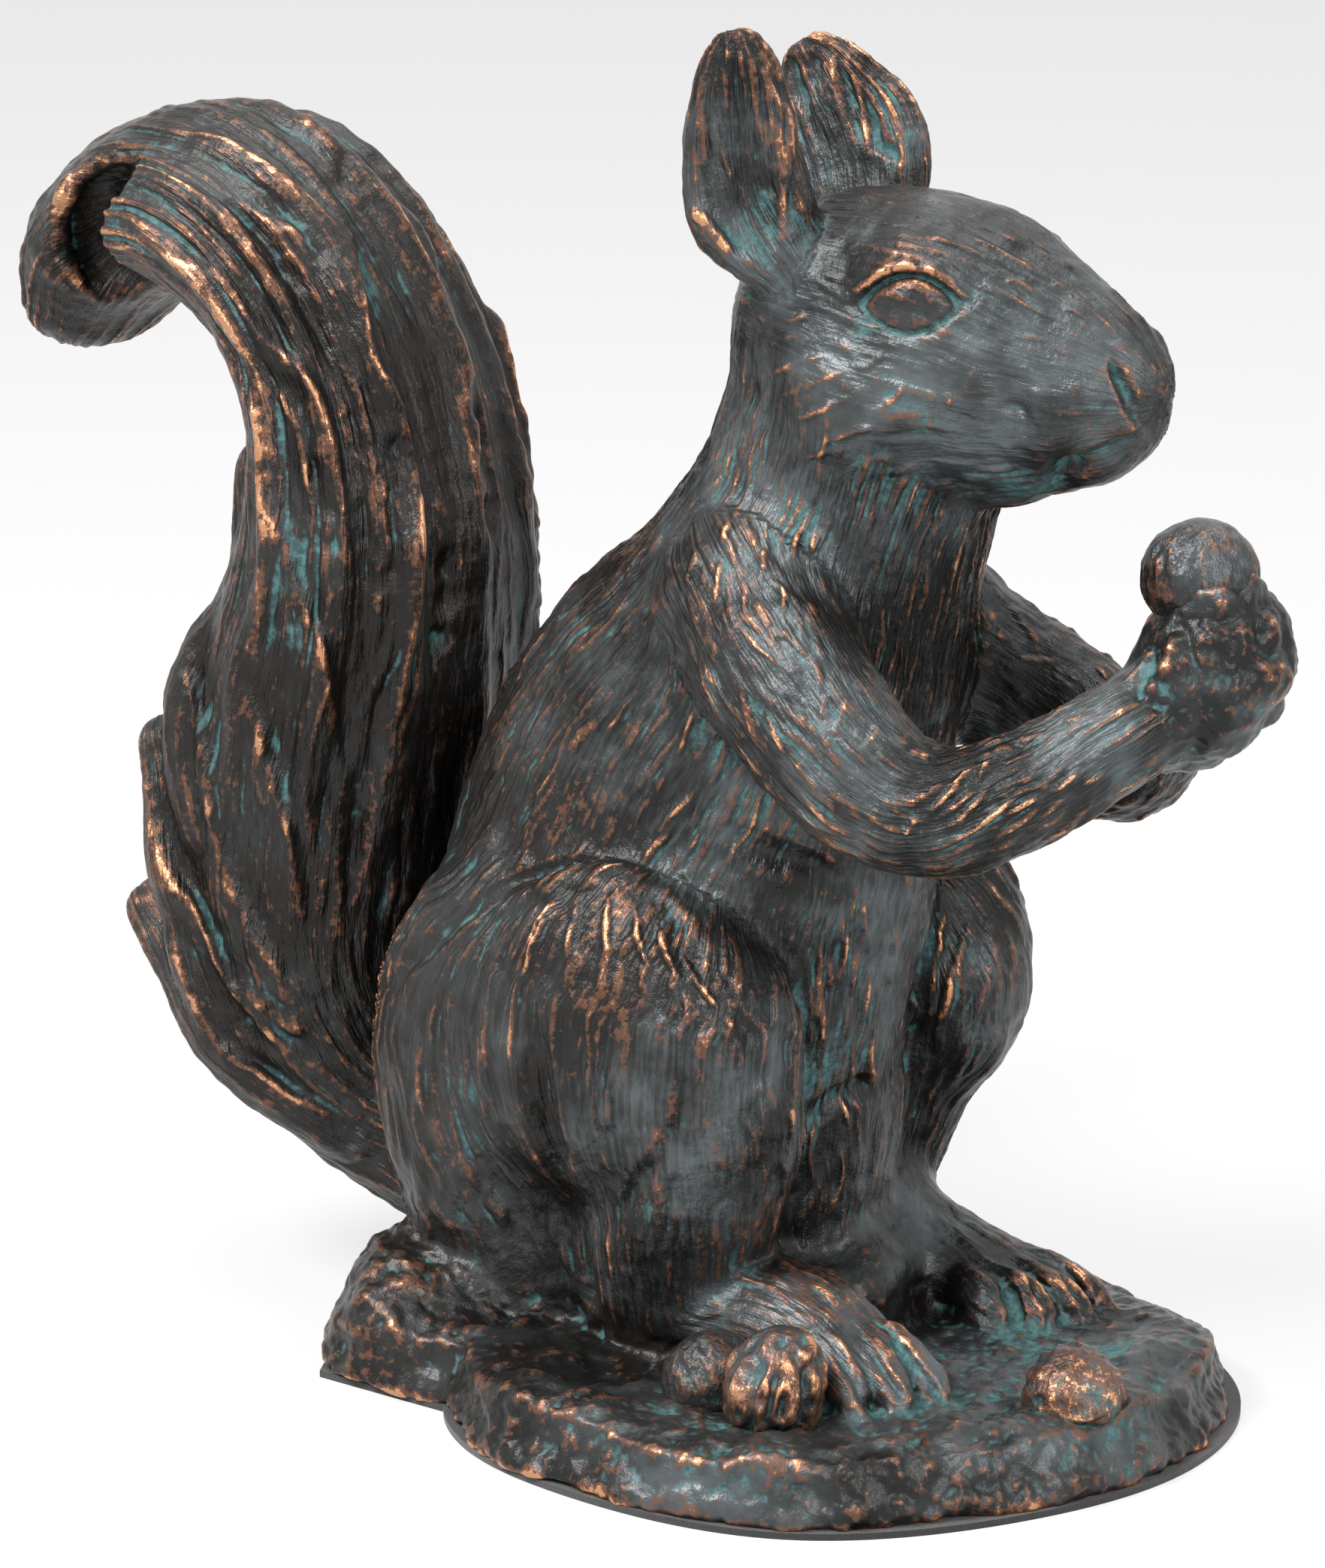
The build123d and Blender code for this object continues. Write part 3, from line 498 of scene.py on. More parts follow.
def surface_nets(values):
    """Quads of the zero surface, with one vertex in each cell that it passes"""
    cell = tuple(count - 1 for count in values.shape)
    total, count = np.zeros(cell + (3,)), np.zeros(cell)

    def corner(array, at):
        return array[at[0]:at[0] + cell[0], at[1]:at[1] + cell[1], at[2]:at[2] + cell[2]]

    for start in np.ndindex(2, 2, 2):
        for axis in range(3):
            if start[axis]:
                continue
            end = tuple(start[other] + (other == axis) for other in range(3))
            first, second = corner(values, start), corner(values, end)
            crosses = (first < 0) != (second < 0)
            share = np.where(crosses, first / np.where(crosses, first - second, 1), 0)
            for other in range(3):
                total[..., other] += crosses * (start[other] + (share if other == axis else 0))
            count += crosses
    used = count > 0
    index = np.full(cell, -1)
    index[used] = np.arange(used.sum())
    vertices = GRID_LOW + CELL * (np.stack(np.nonzero(used), -1) + total[used] / count[used][:, None])
    inside = values < 0
    quads = []
    for axis in range(3):
        second_axis, third_axis = (axis + 1) % 3, (axis + 2) % 3
        lower = [slice(1, -1)] * 3
        lower[axis] = slice(0, -1)
        upper = list(lower)
        upper[axis] = slice(1, None)
        first, second = inside[tuple(lower)], inside[tuple(upper)]
        crosses = first != second
        places = np.stack(np.nonzero(crosses), -1)
        places[:, second_axis] += 1
        places[:, third_axis] += 1
        ring = []
        for step, other_step in ((-1, -1), (0, -1), (0, 0), (-1, 0)):
            moved = places.copy()
            moved[:, second_axis] += step
            moved[:, third_axis] += other_step
            ring.append(index[tuple(moved.T)])
        ring = np.stack(ring, -1)
        flipped = second[crosses]
        ring[flipped] = ring[flipped][:, ::-1]
        quads.append(ring)
    return vertices, np.vstack(quads)


class Refinement:
    """Each quad becomes four; carry takes values of the old vertices to the new ones"""

    def __init__(self, quads, count):
        self.quads = quads
        pairs = np.sort(np.stack([quads, np.roll(quads, -1, 1)], -1).reshape(-1, 2), 1)
        keys, which = np.unique(pairs[:, 0] * count + pairs[:, 1], return_inverse=True)
        self.pairs = np.stack([keys // count, keys % count], -1)
        which = which.reshape(quads.shape) + count
        centre = count + len(self.pairs) + np.arange(len(quads))
        self.fine = np.vstack([np.stack([quads[:, side], which[:, side], centre, which[:, side - 1]], -1)
                               for side in range(4)])

    def carry(self, values):
        return np.concatenate([values, values[self.pairs].mean(1), values[self.quads].mean(1)])


class Neighbours:
    """Mean of each vertex's neighbours along the edges of the quads"""

    def __init__(self, quads, count):
        self.heads, self.tails = quads.ravel(), np.roll(quads, -1, 1).ravel()
        self.number = np.maximum(np.bincount(self.heads, minlength=count), 1)
        self.count = count

    def mean(self, values):
        if values.ndim == 1:
            return np.bincount(self.heads, values[self.tails], self.count) / self.number
        return np.stack([self.mean(values[:, axis]) for axis in range(values.shape[1])], -1)

    def smooth(self, values, rounds, amount=0.5):
        for _ in range(rounds):
            values = values + amount * (self.mean(values) - values)
        return values


def vertex_normals(vertices, quads):
    """Outward normals from the quads' diagonals"""
    cross = np.cross(vertices[quads[:, 2]] - vertices[quads[:, 0]], vertices[quads[:, 3]] - vertices[quads[:, 1]])
    total = np.zeros_like(vertices)
    for side in range(4):
        for axis in range(3):
            total[:, axis] += np.bincount(quads[:, side], cross[:, axis], len(vertices))
    return unit(total)


def settle(vertices, quads, rounds):
    """Move vertices onto the figure's surface along their normals"""
    for _ in range(rounds):
        normals = vertex_normals(vertices, quads)
        step = np.clip(figure(vertices), -SETTLE_STEP, SETTLE_STEP)
        vertices = vertices - step[:, None] * normals
    return vertices


# Carving, drawn as curves in the photograph's pixels

PIXELS_PER_PERCENT = FOCAL_PIXELS / CAMERA_DISTANCE
# Share of a curve over which it fades at each end, and how far it reaches to the sides, in widths
TAPER, CURVE_REACH = 0.35, 3.2
# An edge: how it falls off gently on one side and steeply on the other, and what is left of it at its ends
GENTLE_FALL, STEEP_FALL, EDGE_END = 1 / 1.6, 9, 0.15
# A crest or groove: the width left at its ends, the power that rounds it, and how uneven it is
CREST_END, CREST_POWER, CREST_UNEVEN = 0.35, 1.5, (0.8, 0.5, 26.0, 61)

TAIL_EDGES = [
    [(176, 329), (226, 341), (282, 363), (320, 404), (358, 454), (395, 491), (426, 547), (442, 610), (457, 672),
     (464, 754), (480, 850)],
    [(201, 204), (270, 201), (320, 210), (370, 248), (420, 291), (458, 322), (470, 385), (482, 479), (520, 535),
     (542, 585), (551, 629)],
    [(314, 771), (321, 879), (346, 964), (367, 1043), (389, 1114), (396, 1200), (406, 1236)],
    [(374, 714), (406, 807), (431, 864), (442, 950), (460, 1071)],
    [(560, 610), (552, 672), (549, 740), (546, 786), (531, 886), (514, 1021)],
    [(253, 829), (249, 900), (278, 1007), (292, 1086), (310, 1171), (353, 1264), (403, 1321), (470, 1350)],
    [(192, 964), (199, 1057), (224, 1157), (267, 1221), (303, 1307), (374, 1386), (446, 1436), (481, 1457)],
    [(185, 1190), (240, 1270), (296, 1386), (367, 1443), (431, 1479), (481, 1500)],
    [(145, 185), (208, 157), (282, 148), (370, 160), (445, 198), (495, 254), (545, 316), (582, 385)],
    [(289, 422), (301, 466), (332, 510), (358, 572), (361, 660), (382, 735), (392, 800)],
    [(482, 248), (520, 279), (551, 322), (582, 410), (601, 460), (620, 540), (636, 640), (640, 760)],
]
TAIL_CRESTS = [
    [(201, 207), (145, 216), (101, 241), (82, 285), (86, 341), (114, 385), (157, 419)],
    [(320, 266), (358, 298), (395, 322), (426, 360), (445, 404), (460, 470)],
    [(376, 179), (414, 198), (451, 254)],
    [(267, 1243), (324, 1314), (389, 1364), (460, 1393)],
    [(403, 1493), (460, 1536), (503, 1529)],
    [(640, 360), (660, 430), (682, 510), (695, 641), (701, 710)],
    [(460, 480), (490, 580), (505, 700), (500, 820), (486, 960)],
]
TAIL_GROOVES = [
    [(295, 260), (332, 298), (370, 348), (395, 385), (426, 441), (445, 500)],
    [(301, 448), (345, 485), (389, 516), (420, 572), (432, 641), (445, 735), (450, 800)],
    [(508, 548), (526, 610), (532, 672), (528, 760)],
    [(474, 1000), (474, 1100), (460, 1229)],
    [(590, 700), (598, 800), (570, 900)],
    [(230, 1180), (262, 1260), (320, 1350), (400, 1410)],
    [(600, 480), (640, 620), (650, 740)],
]
BROW = [(1150, 352), (1185, 318), (1225, 306), (1266, 318), (1296, 345)]
NOSTRIL = [(1474, 470), (1487, 496), (1499, 521), (1510, 550), (1518, 580)]
NOSE_TOP = [(1470, 452), (1500, 466), (1530, 484)]
MOUTH = [(1395, 640), (1425, 628), (1460, 612), (1496, 592), (1520, 570)]
CHEEK_STROKES = [
    [(1010, 470), (1040, 454), (1068, 446)], [(1020, 502), (1060, 484), (1100, 474)],
    [(1030, 532), (1080, 512), (1124, 496)], [(1050, 562), (1096, 546), (1150, 520)],
    [(1090, 592), (1140, 574), (1180, 560)], [(1000, 540), (1030, 524)], [(1060, 614), (1100, 602), (1136, 598)],
    [(1120, 632), (1160, 614), (1200, 606)], [(1176, 640), (1210, 622), (1240, 618)],
    [(1040, 430), (1076, 420)], [(1150, 486), (1180, 476)], [(1164, 548), (1192, 530), (1206, 512)],
]
SNOUT_LINES = [
    [(1290, 345), (1340, 368), (1390, 398), (1440, 420), (1490, 452)],
    [(1300, 330), (1360, 352), (1420, 385), (1480, 430)],
    [(1285, 372), (1330, 392), (1380, 412), (1430, 440)],
    [(1274, 489), (1266, 522), (1262, 553)],
    [(1244, 498), (1240, 540), (1238, 580)],
    [(1306, 480), (1290, 510), (1282, 540)],
]
EAR_RIDGES = [
    [(1002, 49), (1014, 82), (1027, 120), (1043, 149), (1052, 187), (1045, 237), (1043, 291), (1041, 318)],
    [(912, 220), (908, 257), (918, 278), (943, 299), (968, 328), (998, 351), (1018, 366), (1030, 376)],
]
EAR_LINES = [
    [(964, 45), (972, 87)], [(985, 62), (989, 116)], [(945, 141), (964, 207), (978, 250)],
    [(977, 149), (993, 187), (1003, 230)], [(958, 95), (972, 115)], [(1012, 100), (1026, 145), (1030, 190)],
    [(1000, 105), (1008, 150), (1018, 200)],
]
FAR_EAR_GROOVES = [
    [(1077, 66), (1086, 95), (1097, 122)],
    [(1143, 103), (1158, 150), (1168, 187), (1189, 203), (1208, 222)],
    [(1118, 70), (1124, 110), (1140, 160), (1150, 205)],
    [(1050, 66), (1062, 110), (1080, 160)],
]
FAR_EAR_RIDGES = [
    [(1106, 60), (1110, 95), (1120, 140), (1124, 170)],
    [(1150, 80), (1172, 120), (1196, 160), (1212, 200)],
    [(1062, 52), (1084, 46), (1106, 52), (1118, 66)],
]
HAUNCH_ARC = [(560, 1300), (595, 1249), (657, 1207), (734, 1176), (826, 1166), (884, 1184), (918, 1234)]
HAUNCH_ABOVE = [(505, 1350), (540, 1292), (590, 1240), (660, 1194), (740, 1156), (800, 1140)]
SHANK_EDGE = [(812, 1640), (850, 1580), (882, 1540), (906, 1490), (914, 1420)]
MUZZLE_SIDE = [(1310, 470), (1338, 520), (1362, 570), (1390, 618)]
HAUNCH_STROKES = [
    [(700, 1208), (668, 1262), (650, 1330)], [(735, 1196), (712, 1250), (700, 1300)],
    [(772, 1190), (760, 1240), (752, 1292)], [(812, 1190), (806, 1240), (812, 1290)],
    [(845, 1196), (850, 1250), (868, 1300)], [(872, 1214), (886, 1270), (912, 1320)],
    [(640, 1240), (610, 1300), (596, 1370)], [(600, 1290), (580, 1350), (572, 1420)],
    [(905, 1262), (930, 1310), (962, 1350)], [(560, 1370), (556, 1440), (566, 1500)],
    [(600, 1400), (604, 1480), (618, 1550)], [(640, 1360), (640, 1440), (652, 1500)],
]
KNEE_FOLDS = [
    [(880, 1188), (905, 1240), (922, 1300), (926, 1380)],
    [(962, 1330), (1000, 1380), (1012, 1440), (1000, 1510)],
    [(1040, 1350), (1050, 1420), (1040, 1490)],
]
BELLY_GROOVE = [(1065, 1262), (1068, 1330), (1070, 1400), (1072, 1468)]
BELLY_SIDES = [
    [(1172, 1511), (1203, 1426), (1218, 1372), (1238, 1272), (1249, 1195)],
    [(1049, 1520), (1095, 1478), (1150, 1448), (1185, 1440)],
]
BELLY_LINES = [
    [(1120, 1200), (1124, 1290), (1118, 1380)],
    [(1150, 1190), (1156, 1280), (1150, 1400)],
    [(1014, 1240), (1022, 1330), (1030, 1420)],
    [(1090, 1230), (1094, 1330), (1098, 1440)],
    [(1190, 1200), (1188, 1290), (1180, 1380)],
]
FAR_THIGH_LINES = [
    [(1262, 1200), (1240, 1290), (1224, 1370)],
    [(1300, 1200), (1270, 1300), (1236, 1400)],
    [(1330, 1240), (1310, 1320), (1270, 1400)],
]
ARM_CREST = [(1174, 826), (1181, 869), (1217, 926), (1246, 954), (1270, 972), (1317, 976), (1374, 954), (1431, 938)]
ARM_STROKES = [
    [(1110, 980), (1128, 930)], [(1090, 960), (1104, 920)], [(1150, 1000), (1176, 960)],
    [(1222, 1100), (1262, 1060), (1290, 1020)], [(1250, 1110), (1290, 1080), (1330, 1030)],
    [(1290, 1110), (1330, 1080), (1372, 1046)], [(1200, 1120), (1226, 1080)], [(1330, 1090), (1390, 1056)],
    [(1400, 1060), (1440, 1020)], [(1300, 1040), (1320, 1010)], [(1350, 990), (1400, 976)],
]
SHOULDER_STROKES = [
    [(960, 740), (950, 810)], [(990, 760), (992, 816)], [(1040, 770), (1046, 826)], [(930, 720), (910, 790)],
    [(905, 700), (884, 770)], [(1064, 700), (1050, 760)], [(1020, 720), (1012, 780)], [(880, 760), (872, 830)],
    [(1090, 700), (1078, 740)], [(975, 690), (960, 730)],
]
ARMPIT = [(950, 1090), (1010, 1130), (1080, 1160), (1150, 1185)]
NEAR_FOOT_GROOVES = [
    [(1085, 1765), (1114, 1800), (1146, 1855), (1166, 1900)], [(1128, 1755), (1160, 1802), (1196, 1855), (1214, 1900)],
    [(1168, 1752), (1202, 1798), (1242, 1850), (1266, 1890)],
]
FAR_FOOT_GROOVES = [
    [(1360, 1680), (1392, 1730), (1405, 1772)], [(1401, 1672), (1438, 1722), (1454, 1762)],
    [(1330, 1700), (1350, 1736), (1358, 1774)],
]


def nearest_on(curve, pixels):
    """Distance to a drawn curve, which side of it, and how far along it"""
    rows = spline([(*point, 0.0) for point in curve], 3)[:, :2]
    best = np.full(len(pixels), np.inf)
    side, along = np.zeros(len(pixels)), np.zeros(len(pixels))
    count = len(rows) - 1
    for index in range(count):
        share, offset = beside(pixels, rows[index], rows[index + 1])
        squared = (offset**2).sum(1)
        closer = squared < best
        best[closer] = squared[closer]
        across, down = rows[index + 1] - rows[index]
        side[closer] = across * offset[closer, 1] - down * offset[closer, 0]
        along[closer] = (index + share[closer]) / count
    return np.sqrt(best) / PIXELS_PER_PERCENT, side, along


def drawn(pixels, curve, width, height, kind="round"):
    """Height that one drawn curve adds: a crest or, below zero, a groove, or an edge that is steep on one side"""
    margin = CURVE_REACH * width * PIXELS_PER_PERCENT
    picked = within(pixels, np.min(curve, 0) - margin, np.max(curve, 0) + margin)
    added = np.zeros(len(pixels))
    if not len(picked):
        return added
    distance, side, along = nearest_on(curve, pixels[picked])
    ends = smoothstep(0, TAPER, along) * smoothstep(1, 1 - TAPER, along)
    if kind == "edge":
        profile = np.exp(-((distance / width) ** 2) * np.where(side > 0, GENTLE_FALL, STEEP_FALL))
        added[picked] = height * profile * (EDGE_END + (1 - EDGE_END) * ends)
    else:
        narrowed = width * (CREST_END + (1 - CREST_END) * ends)
        profile = np.clip(1 - (distance / narrowed) ** 2, 0, 1) ** CREST_POWER
        added[picked] = height * profile * ends * uneven(pixels[picked], *CREST_UNEVEN)
    return added


def draw_all(pixels, group):
    """Height that all drawn curves of a group add"""
    height = sum(drawn(pixels, curve, *shape) for curves, *shape in CARVED[group] for curve in curves)
    return height + carve_eye(pixels) if group == "head" else height


# The eye's centre and half sizes in pixels, and its lids in shares of its size: place and width
EYE_CENTRE, EYE_HALF = (1210, 406), (60, 37)
LID_GROOVE, LID_RIDGE = (1.10, 0.13), (1.50, 0.30)
# How the eye narrows to its corners, where its upper half begins, and how far the eyeball lies sunken
EYE_NARROWS, EYE_UPPER, EYE_SUNKEN, EYE_RIM = (0.38, 1.4), (0.2, -0.6), 0.3, (1.2, 0.95)
# Groove, ridge and unevenness of the lids: below, and more above; and the height of the pupil
GROOVE_DEPTH, RIDGE_HEIGHT, LID_UNEVEN, PUPIL_HEIGHT = (0.1, 0.5), (0.12, 0.20), (0.7, 0.5, 18.0, 63), 0.14
# Corner of the mouth in pixels, and the radii of its pit and of the pupil in percent
MOUTH_PIT, PIT_RADIUS, PUPIL_RADIUS = (1410, 634), 1.2, 0.7


def carve_eye(pixels):
    """Eyeball in its lids, with a pupil, and the pit at the corner of the mouth"""
    place = (pixels - EYE_CENTRE) / EYE_HALF
    lens = 1 - EYE_NARROWS[0] * np.clip(place[:, 0] ** 2, 0, EYE_NARROWS[1])
    eye = np.hypot(place[:, 0], place[:, 1] / lens)
    upper = smoothstep(*EYE_UPPER, place[:, 1])
    groove, ridge = (np.exp(-(((eye - middle) / width) ** 2)) for middle, width in (LID_GROOVE, LID_RIDGE))
    pupil, pit = (np.exp(-((np.linalg.norm(pixels - centre, axis=1) / PIXELS_PER_PERCENT / radius) ** 2))
                  for centre, radius in ((EYE_CENTRE, PUPIL_RADIUS), (MOUTH_PIT, PIT_RADIUS)))
    height = np.sqrt(np.clip(1 - eye**2, 0, 1)) - EYE_SUNKEN * smoothstep(*EYE_RIM, eye)
    height -= between(GROOVE_DEPTH, upper) * groove
    height += between(RIDGE_HEIGHT, upper) * uneven(pixels, *LID_UNEVEN) * ridge
    return height + PUPIL_HEIGHT * pupil - pit


# The curves of each group with their width and height in percent
CARVED = {
    "tail": [(TAIL_EDGES, 1.5, 1.0, "edge"), (TAIL_CRESTS, 0.9, 0.55), (TAIL_GROOVES, 1.2, -0.9)],
    "head": [([BROW], 1.8, 0.3), ([NOSTRIL], 0.75, -0.8), ([MOUTH], 0.9, -1.1), (SNOUT_LINES, 0.35, 0.18),
             (CHEEK_STROKES, 0.38, 0.22), ([MUZZLE_SIDE], 2.2, -0.7), ([NOSE_TOP], 0.8, 0.3)],
    "near_ear": [(EAR_RIDGES, 0.6, 0.35), (EAR_LINES, 0.32, 0.20)],
    "far_ear": [(FAR_EAR_GROOVES, 0.7, -0.5), (FAR_EAR_RIDGES, 0.5, 0.22)],
    "haunch": [([HAUNCH_ARC], 1.2, 0.5), (HAUNCH_STROKES, 0.4, 0.35), ([HAUNCH_ABOVE], 1.0, -0.7),
               ([SHANK_EDGE], 1.2, -0.5), (KNEE_FOLDS, 1.1, -0.45)],
    "torso": [([BELLY_GROOVE], 0.7, -0.8), (BELLY_SIDES, 1.1, -0.9), (BELLY_LINES, 0.45, 0.3),
              ([ARMPIT], 1.6, -0.8), ([HAUNCH_ABOVE], 1.0, -0.7), (SHOULDER_STROKES, 0.4, 0.3)],
    "arm": [([ARM_CREST], 0.9, 0.5), (ARM_STROKES, 0.35, 0.3), (SHOULDER_STROKES, 0.4, 0.3)],
    "near_foot": [(NEAR_FOOT_GROOVES, 0.6, -0.4)],
    "far_foot": [(FAR_FOOT_GROOVES, 0.7, -0.6)],
    "far_thigh": [(FAR_THIGH_LINES, 0.6, 0.35)],
}

# What is carved into each piece group: once as the photograph shows it, and once mirrored onto the other side
CARVING = {
    "tail": ("tail", "tail"),
    "head": ("head", "head"),
    "right_ear": ("near_ear", None),
    "left_ear": ("far_ear", None),
    "right_haunch": ("haunch", None),
    "left_haunch": ("far_thigh", "haunch"),
    "torso": ("torso", "torso"),
    "right_foreleg": ("arm", None),
    "left_foreleg": (None, "arm"),
    "right_hind_foot": ("near_foot", None),
    "left_hind_foot": ("far_foot", None),
}
MIRROR = np.array([1.0, -1.0, 1.0])
# How far a place has to face the camera to be carved, and turn away from it to take the mirrored carving
FACING, AWAY = (0.05, 0.35), (0.15, 0.0)
# Weights below this are left out
LEAST_WEIGHT = 0.01


def carve(vertices, normals, group_weights):
    """Drawn carving of all groups, seen from the photograph and mirrored"""
    height = np.zeros(len(vertices))
    for flip in (False, True):
        sign = MIRROR if flip else np.ones(3)
        facing = smoothstep(*FACING, (normals * sign) @ BACK)
        if flip:
            facing = facing * smoothstep(*AWAY, normals @ BACK) * (vertices[:, 1] > 0)
        for group, drawings in CARVING.items():
            drawing = drawings[flip]
            weight = group_weights[group] * facing
            picked = np.nonzero(weight > LEAST_WEIGHT)[0]
            if drawing and len(picked):
                height[picked] += weight[picked] * draw_all(photo_pixels(vertices[picked] * sign), drawing)
    return height


# Fur strokes: columns around a form, stroke length along it, height, slant and how many are left out

FUR = {
    "torso": (100, 4.6, 0.36, 0.6, 0.20),
    "head": (76, 2.8, 0.17, 0.8, 0.40),
    "tail": (58, 9.0, 0.32, 0.5, 0.35),
    "near_haunch": (80, 4.2, 0.32, 0.7, 0.28),
    "far_haunch": (80, 4.2, 0.32, 0.7, 0.28),
    "near_foot": (28, 2.2, 0.34, 0.8, 0.25),
    "far_foot": (28, 2.2, 0.24, 0.6, 0.30),
    "paws": (20, 1.8, 0.08, 0.9, 0.50),
    "near_arm": (32, 2.8, 0.26, 1.1, 0.45),
    "far_arm": (32, 2.8, 0.26, 1.1, 0.45),
}
# Half girth of the larger runs of fur, in percent, and of all others
FLOW_GIRTH = {"torso": 14.0, "head": 9.0, "tail": 11.0, "near_haunch": 12.0, "far_haunch": 12.0}
LEAST_GIRTH = 6.0
# Rounds that even out the forms' own coordinates, and how much of the fine hair each group keeps
COORDINATE_ROUNDS = 16
HAIR_SHARES = {"paws": 0.0, "head": 0.45, "right_hind_foot": 0.6, "left_hind_foot": 0.6}
# Least and spread of a stroke's reach, width and height, and how deep the strokes are bedded
STROKE_REACH, STROKE_WIDTH, STROKE_HEIGHT, STROKE_BED = (0.45, 0.5), (0.26, 0.40), (0.35, 0.9), 0.35
# Seeds of a stroke's chance, place, slant, length, width and height, of its column's shift and of each form
STROKE_SEEDS, COLUMN_KEY, FORM_SEEDS = (11, 23, 37, 41, 53, 67), 7, (100, 17)
# Lead over which one form's fur gives way to another's, and how its columns wander: amount, size and first seed
FUR_FADE, FUR_WANDER = 0.55, ((0.10, 9.0, 90), (0.03, 3.2, 130))
LEAST_FUR = 0.03
EAR_FUR = (24, 5.0, 0.20, 0.3, 0.30)
LOCK_FUR = (20, 6.0, 0.20, 0.4, 0.30)
ALL_FUR = FUR | {"near_ear": EAR_FUR, "far_ear": EAR_FUR} | {form[0]: LOCK_FUR for form in FORMS if "lock" in form[0]}


def strokes(travel, angle, seed, columns, length, height, slant, missing):
    """Raised strokes of fur, jittered in cells along and around a form"""
    around = angle / (2 * math.pi) * columns
    column = np.floor(around).astype(np.int64)
    best = np.zeros(len(travel))
    for column_step in (-1, 0, 1):
        cell_column = column + column_step
        wrapped = np.mod(cell_column, columns)
        shift = hashed(np.stack([wrapped, wrapped * 0 + COLUMN_KEY], -1), seed)
        row_place = travel / length + shift
        row = np.floor(row_place).astype(np.int64)
        for row_step in (-1, 0, 1):
            cell_row = row + row_step
            key = np.stack([wrapped, cell_row], -1)
            chance, random_place, random_slant, random_length, random_width, random_height = (
                hashed(key, seed + offset) for offset in STROKE_SEEDS)
            forward = row_place - (cell_row + 0.5 + 0.5 * (random_place - 0.5))
            tilt = slant * 2 * (random_slant - 0.5)
            sideways = around - (cell_column + 0.2 + 0.6 * random_place) - tilt * forward
            reach, width = between(STROKE_REACH, random_length), between(STROKE_WIDTH, random_width)
            profile = np.clip(1 - (forward / reach) ** 2, 0, 1) * np.clip(1 - (sideways / width) ** 2, 0, 1)
            raised = height * between(STROKE_HEIGHT, random_height) * profile * (chance > missing)
            best = np.maximum(best, raised)
    return best - STROKE_BED * height


def skin_detail(vertices, measured, carry):
    """Strokes of every furred form, weighted by how near it lies, at the finest vertices"""
    nearest = np.minimum.reduce([measured[name][0] for name in ALL_FUR])
    total, weights = np.zeros(len(vertices)), np.zeros(len(vertices))
    for index, (name, settings) in enumerate(ALL_FUR.items()):
        distance, *coordinates = measured[name]
        weight = carry(np.exp(-((distance - nearest) / FUR_FADE) ** 2))
        picked = np.nonzero(weight > LEAST_FUR)[0]
        travel, cosine, sine = (carry(values)[picked] for values in coordinates)
        warp = sum(amount * noise(vertices[picked], size, seed + index) for amount, size, seed in FUR_WANDER)
        raised = strokes(travel, np.arctan2(sine, cosine) + warp, between(FORM_SEEDS, index), *settings)
        total[picked] += weight[picked] * raised
        weights[picked] += weight[picked]
    return total / np.maximum(weights, 1)


def tail_ribs(travel, cosine, sine, vertices):
    """Ribs of fur that run along the middle of the tail"""
    span = smoothstep(RIB_START, RIB_START + RIB_RAMP, travel) * smoothstep(RIB_END, RIB_END - RIB_RAMP, travel)
    angle = np.arctan2(sine, cosine) / (2 * math.pi) + RIB_WANDER[0] * noise(vertices, *RIB_WANDER[1:])
    total = np.zeros(len(travel))
    for turn in RIB_TURNS:
        apart = np.abs(np.mod(angle - turn + 0.5, 1) - 0.5)
        total = np.maximum(total, np.clip(1 - (apart / RIB_WIDTH) ** 2, 0, 1))
    return RIB_HEIGHT * span * total


def fur_flow(measured, nearest):
    """Place of each vertex in the run of the fur, and how far it is from where one run meets the next"""
    stacked = np.stack([measured[name][0] for name in ALL_FUR])
    order = np.sort(stacked, axis=0)
    chosen = stacked.argmin(0)
    flow = np.zeros((len(chosen), 3))
    for index, name in enumerate(ALL_FUR):
        picked = chosen == index
        travel, cosine, sine = (values[picked] for values in measured[name][1:])
        girth = FLOW_GIRTH.get(name, LEAST_GIRTH)
        flow[picked] = np.stack([girth * cosine, girth * sine, travel + 40 * index], -1)
    calm = smoothstep(*CALM_LEAD, order[1] - order[0]) * smoothstep(*CALM_DEPTH, order[0] - nearest)
    return flow, calm


# Painted places of rubbed copper and verdigris: x, y, z, radius and strength
RUBBED = [
    (-5, -20, 36, 7, 0.9), (2, -19, 33, 5, 0.5), (7, -12, 11, 6, 1.3), (14, -14, 7, 4, 1.1), (17, 8, 7, 5, 0.7),
    (2, -9, 94, 5, 0.9), (-5.5, -9, 86, 4, 0.9), (-6, 7, 97, 5, 0.7), (2, 7, 92, 4, 0.5), (11, -9, 85.5, 3, 0.5),
    (13, -17, 45, 4, 0.7), (6, -16, 61, 5, 0.7), (0, -14, 62, 6, 0.7), (18, -13, 52, 4, 0.5), (7, -14, 53, 4, 0.4),
    (33, -4, 60, 4, 0.2), (31, 0, 66, 3, 0.4), (-14, -17, 45, 9, 0.6), (-50, -10, 78, 7, 0.8),
    (-52, -8, 35, 8, 0.6), (-45, -11, 62, 9, 0.5), (-55, -9, 26, 5, 0.7), (27, 0, 77, 2.5, 0.4),
    (10, -28, 3, 10, 0.4), (24, -16, 4, 8, 0.4), (-24, -22, 6, 8, 0.4), (5, -9, 74, 5, 0.5),
]
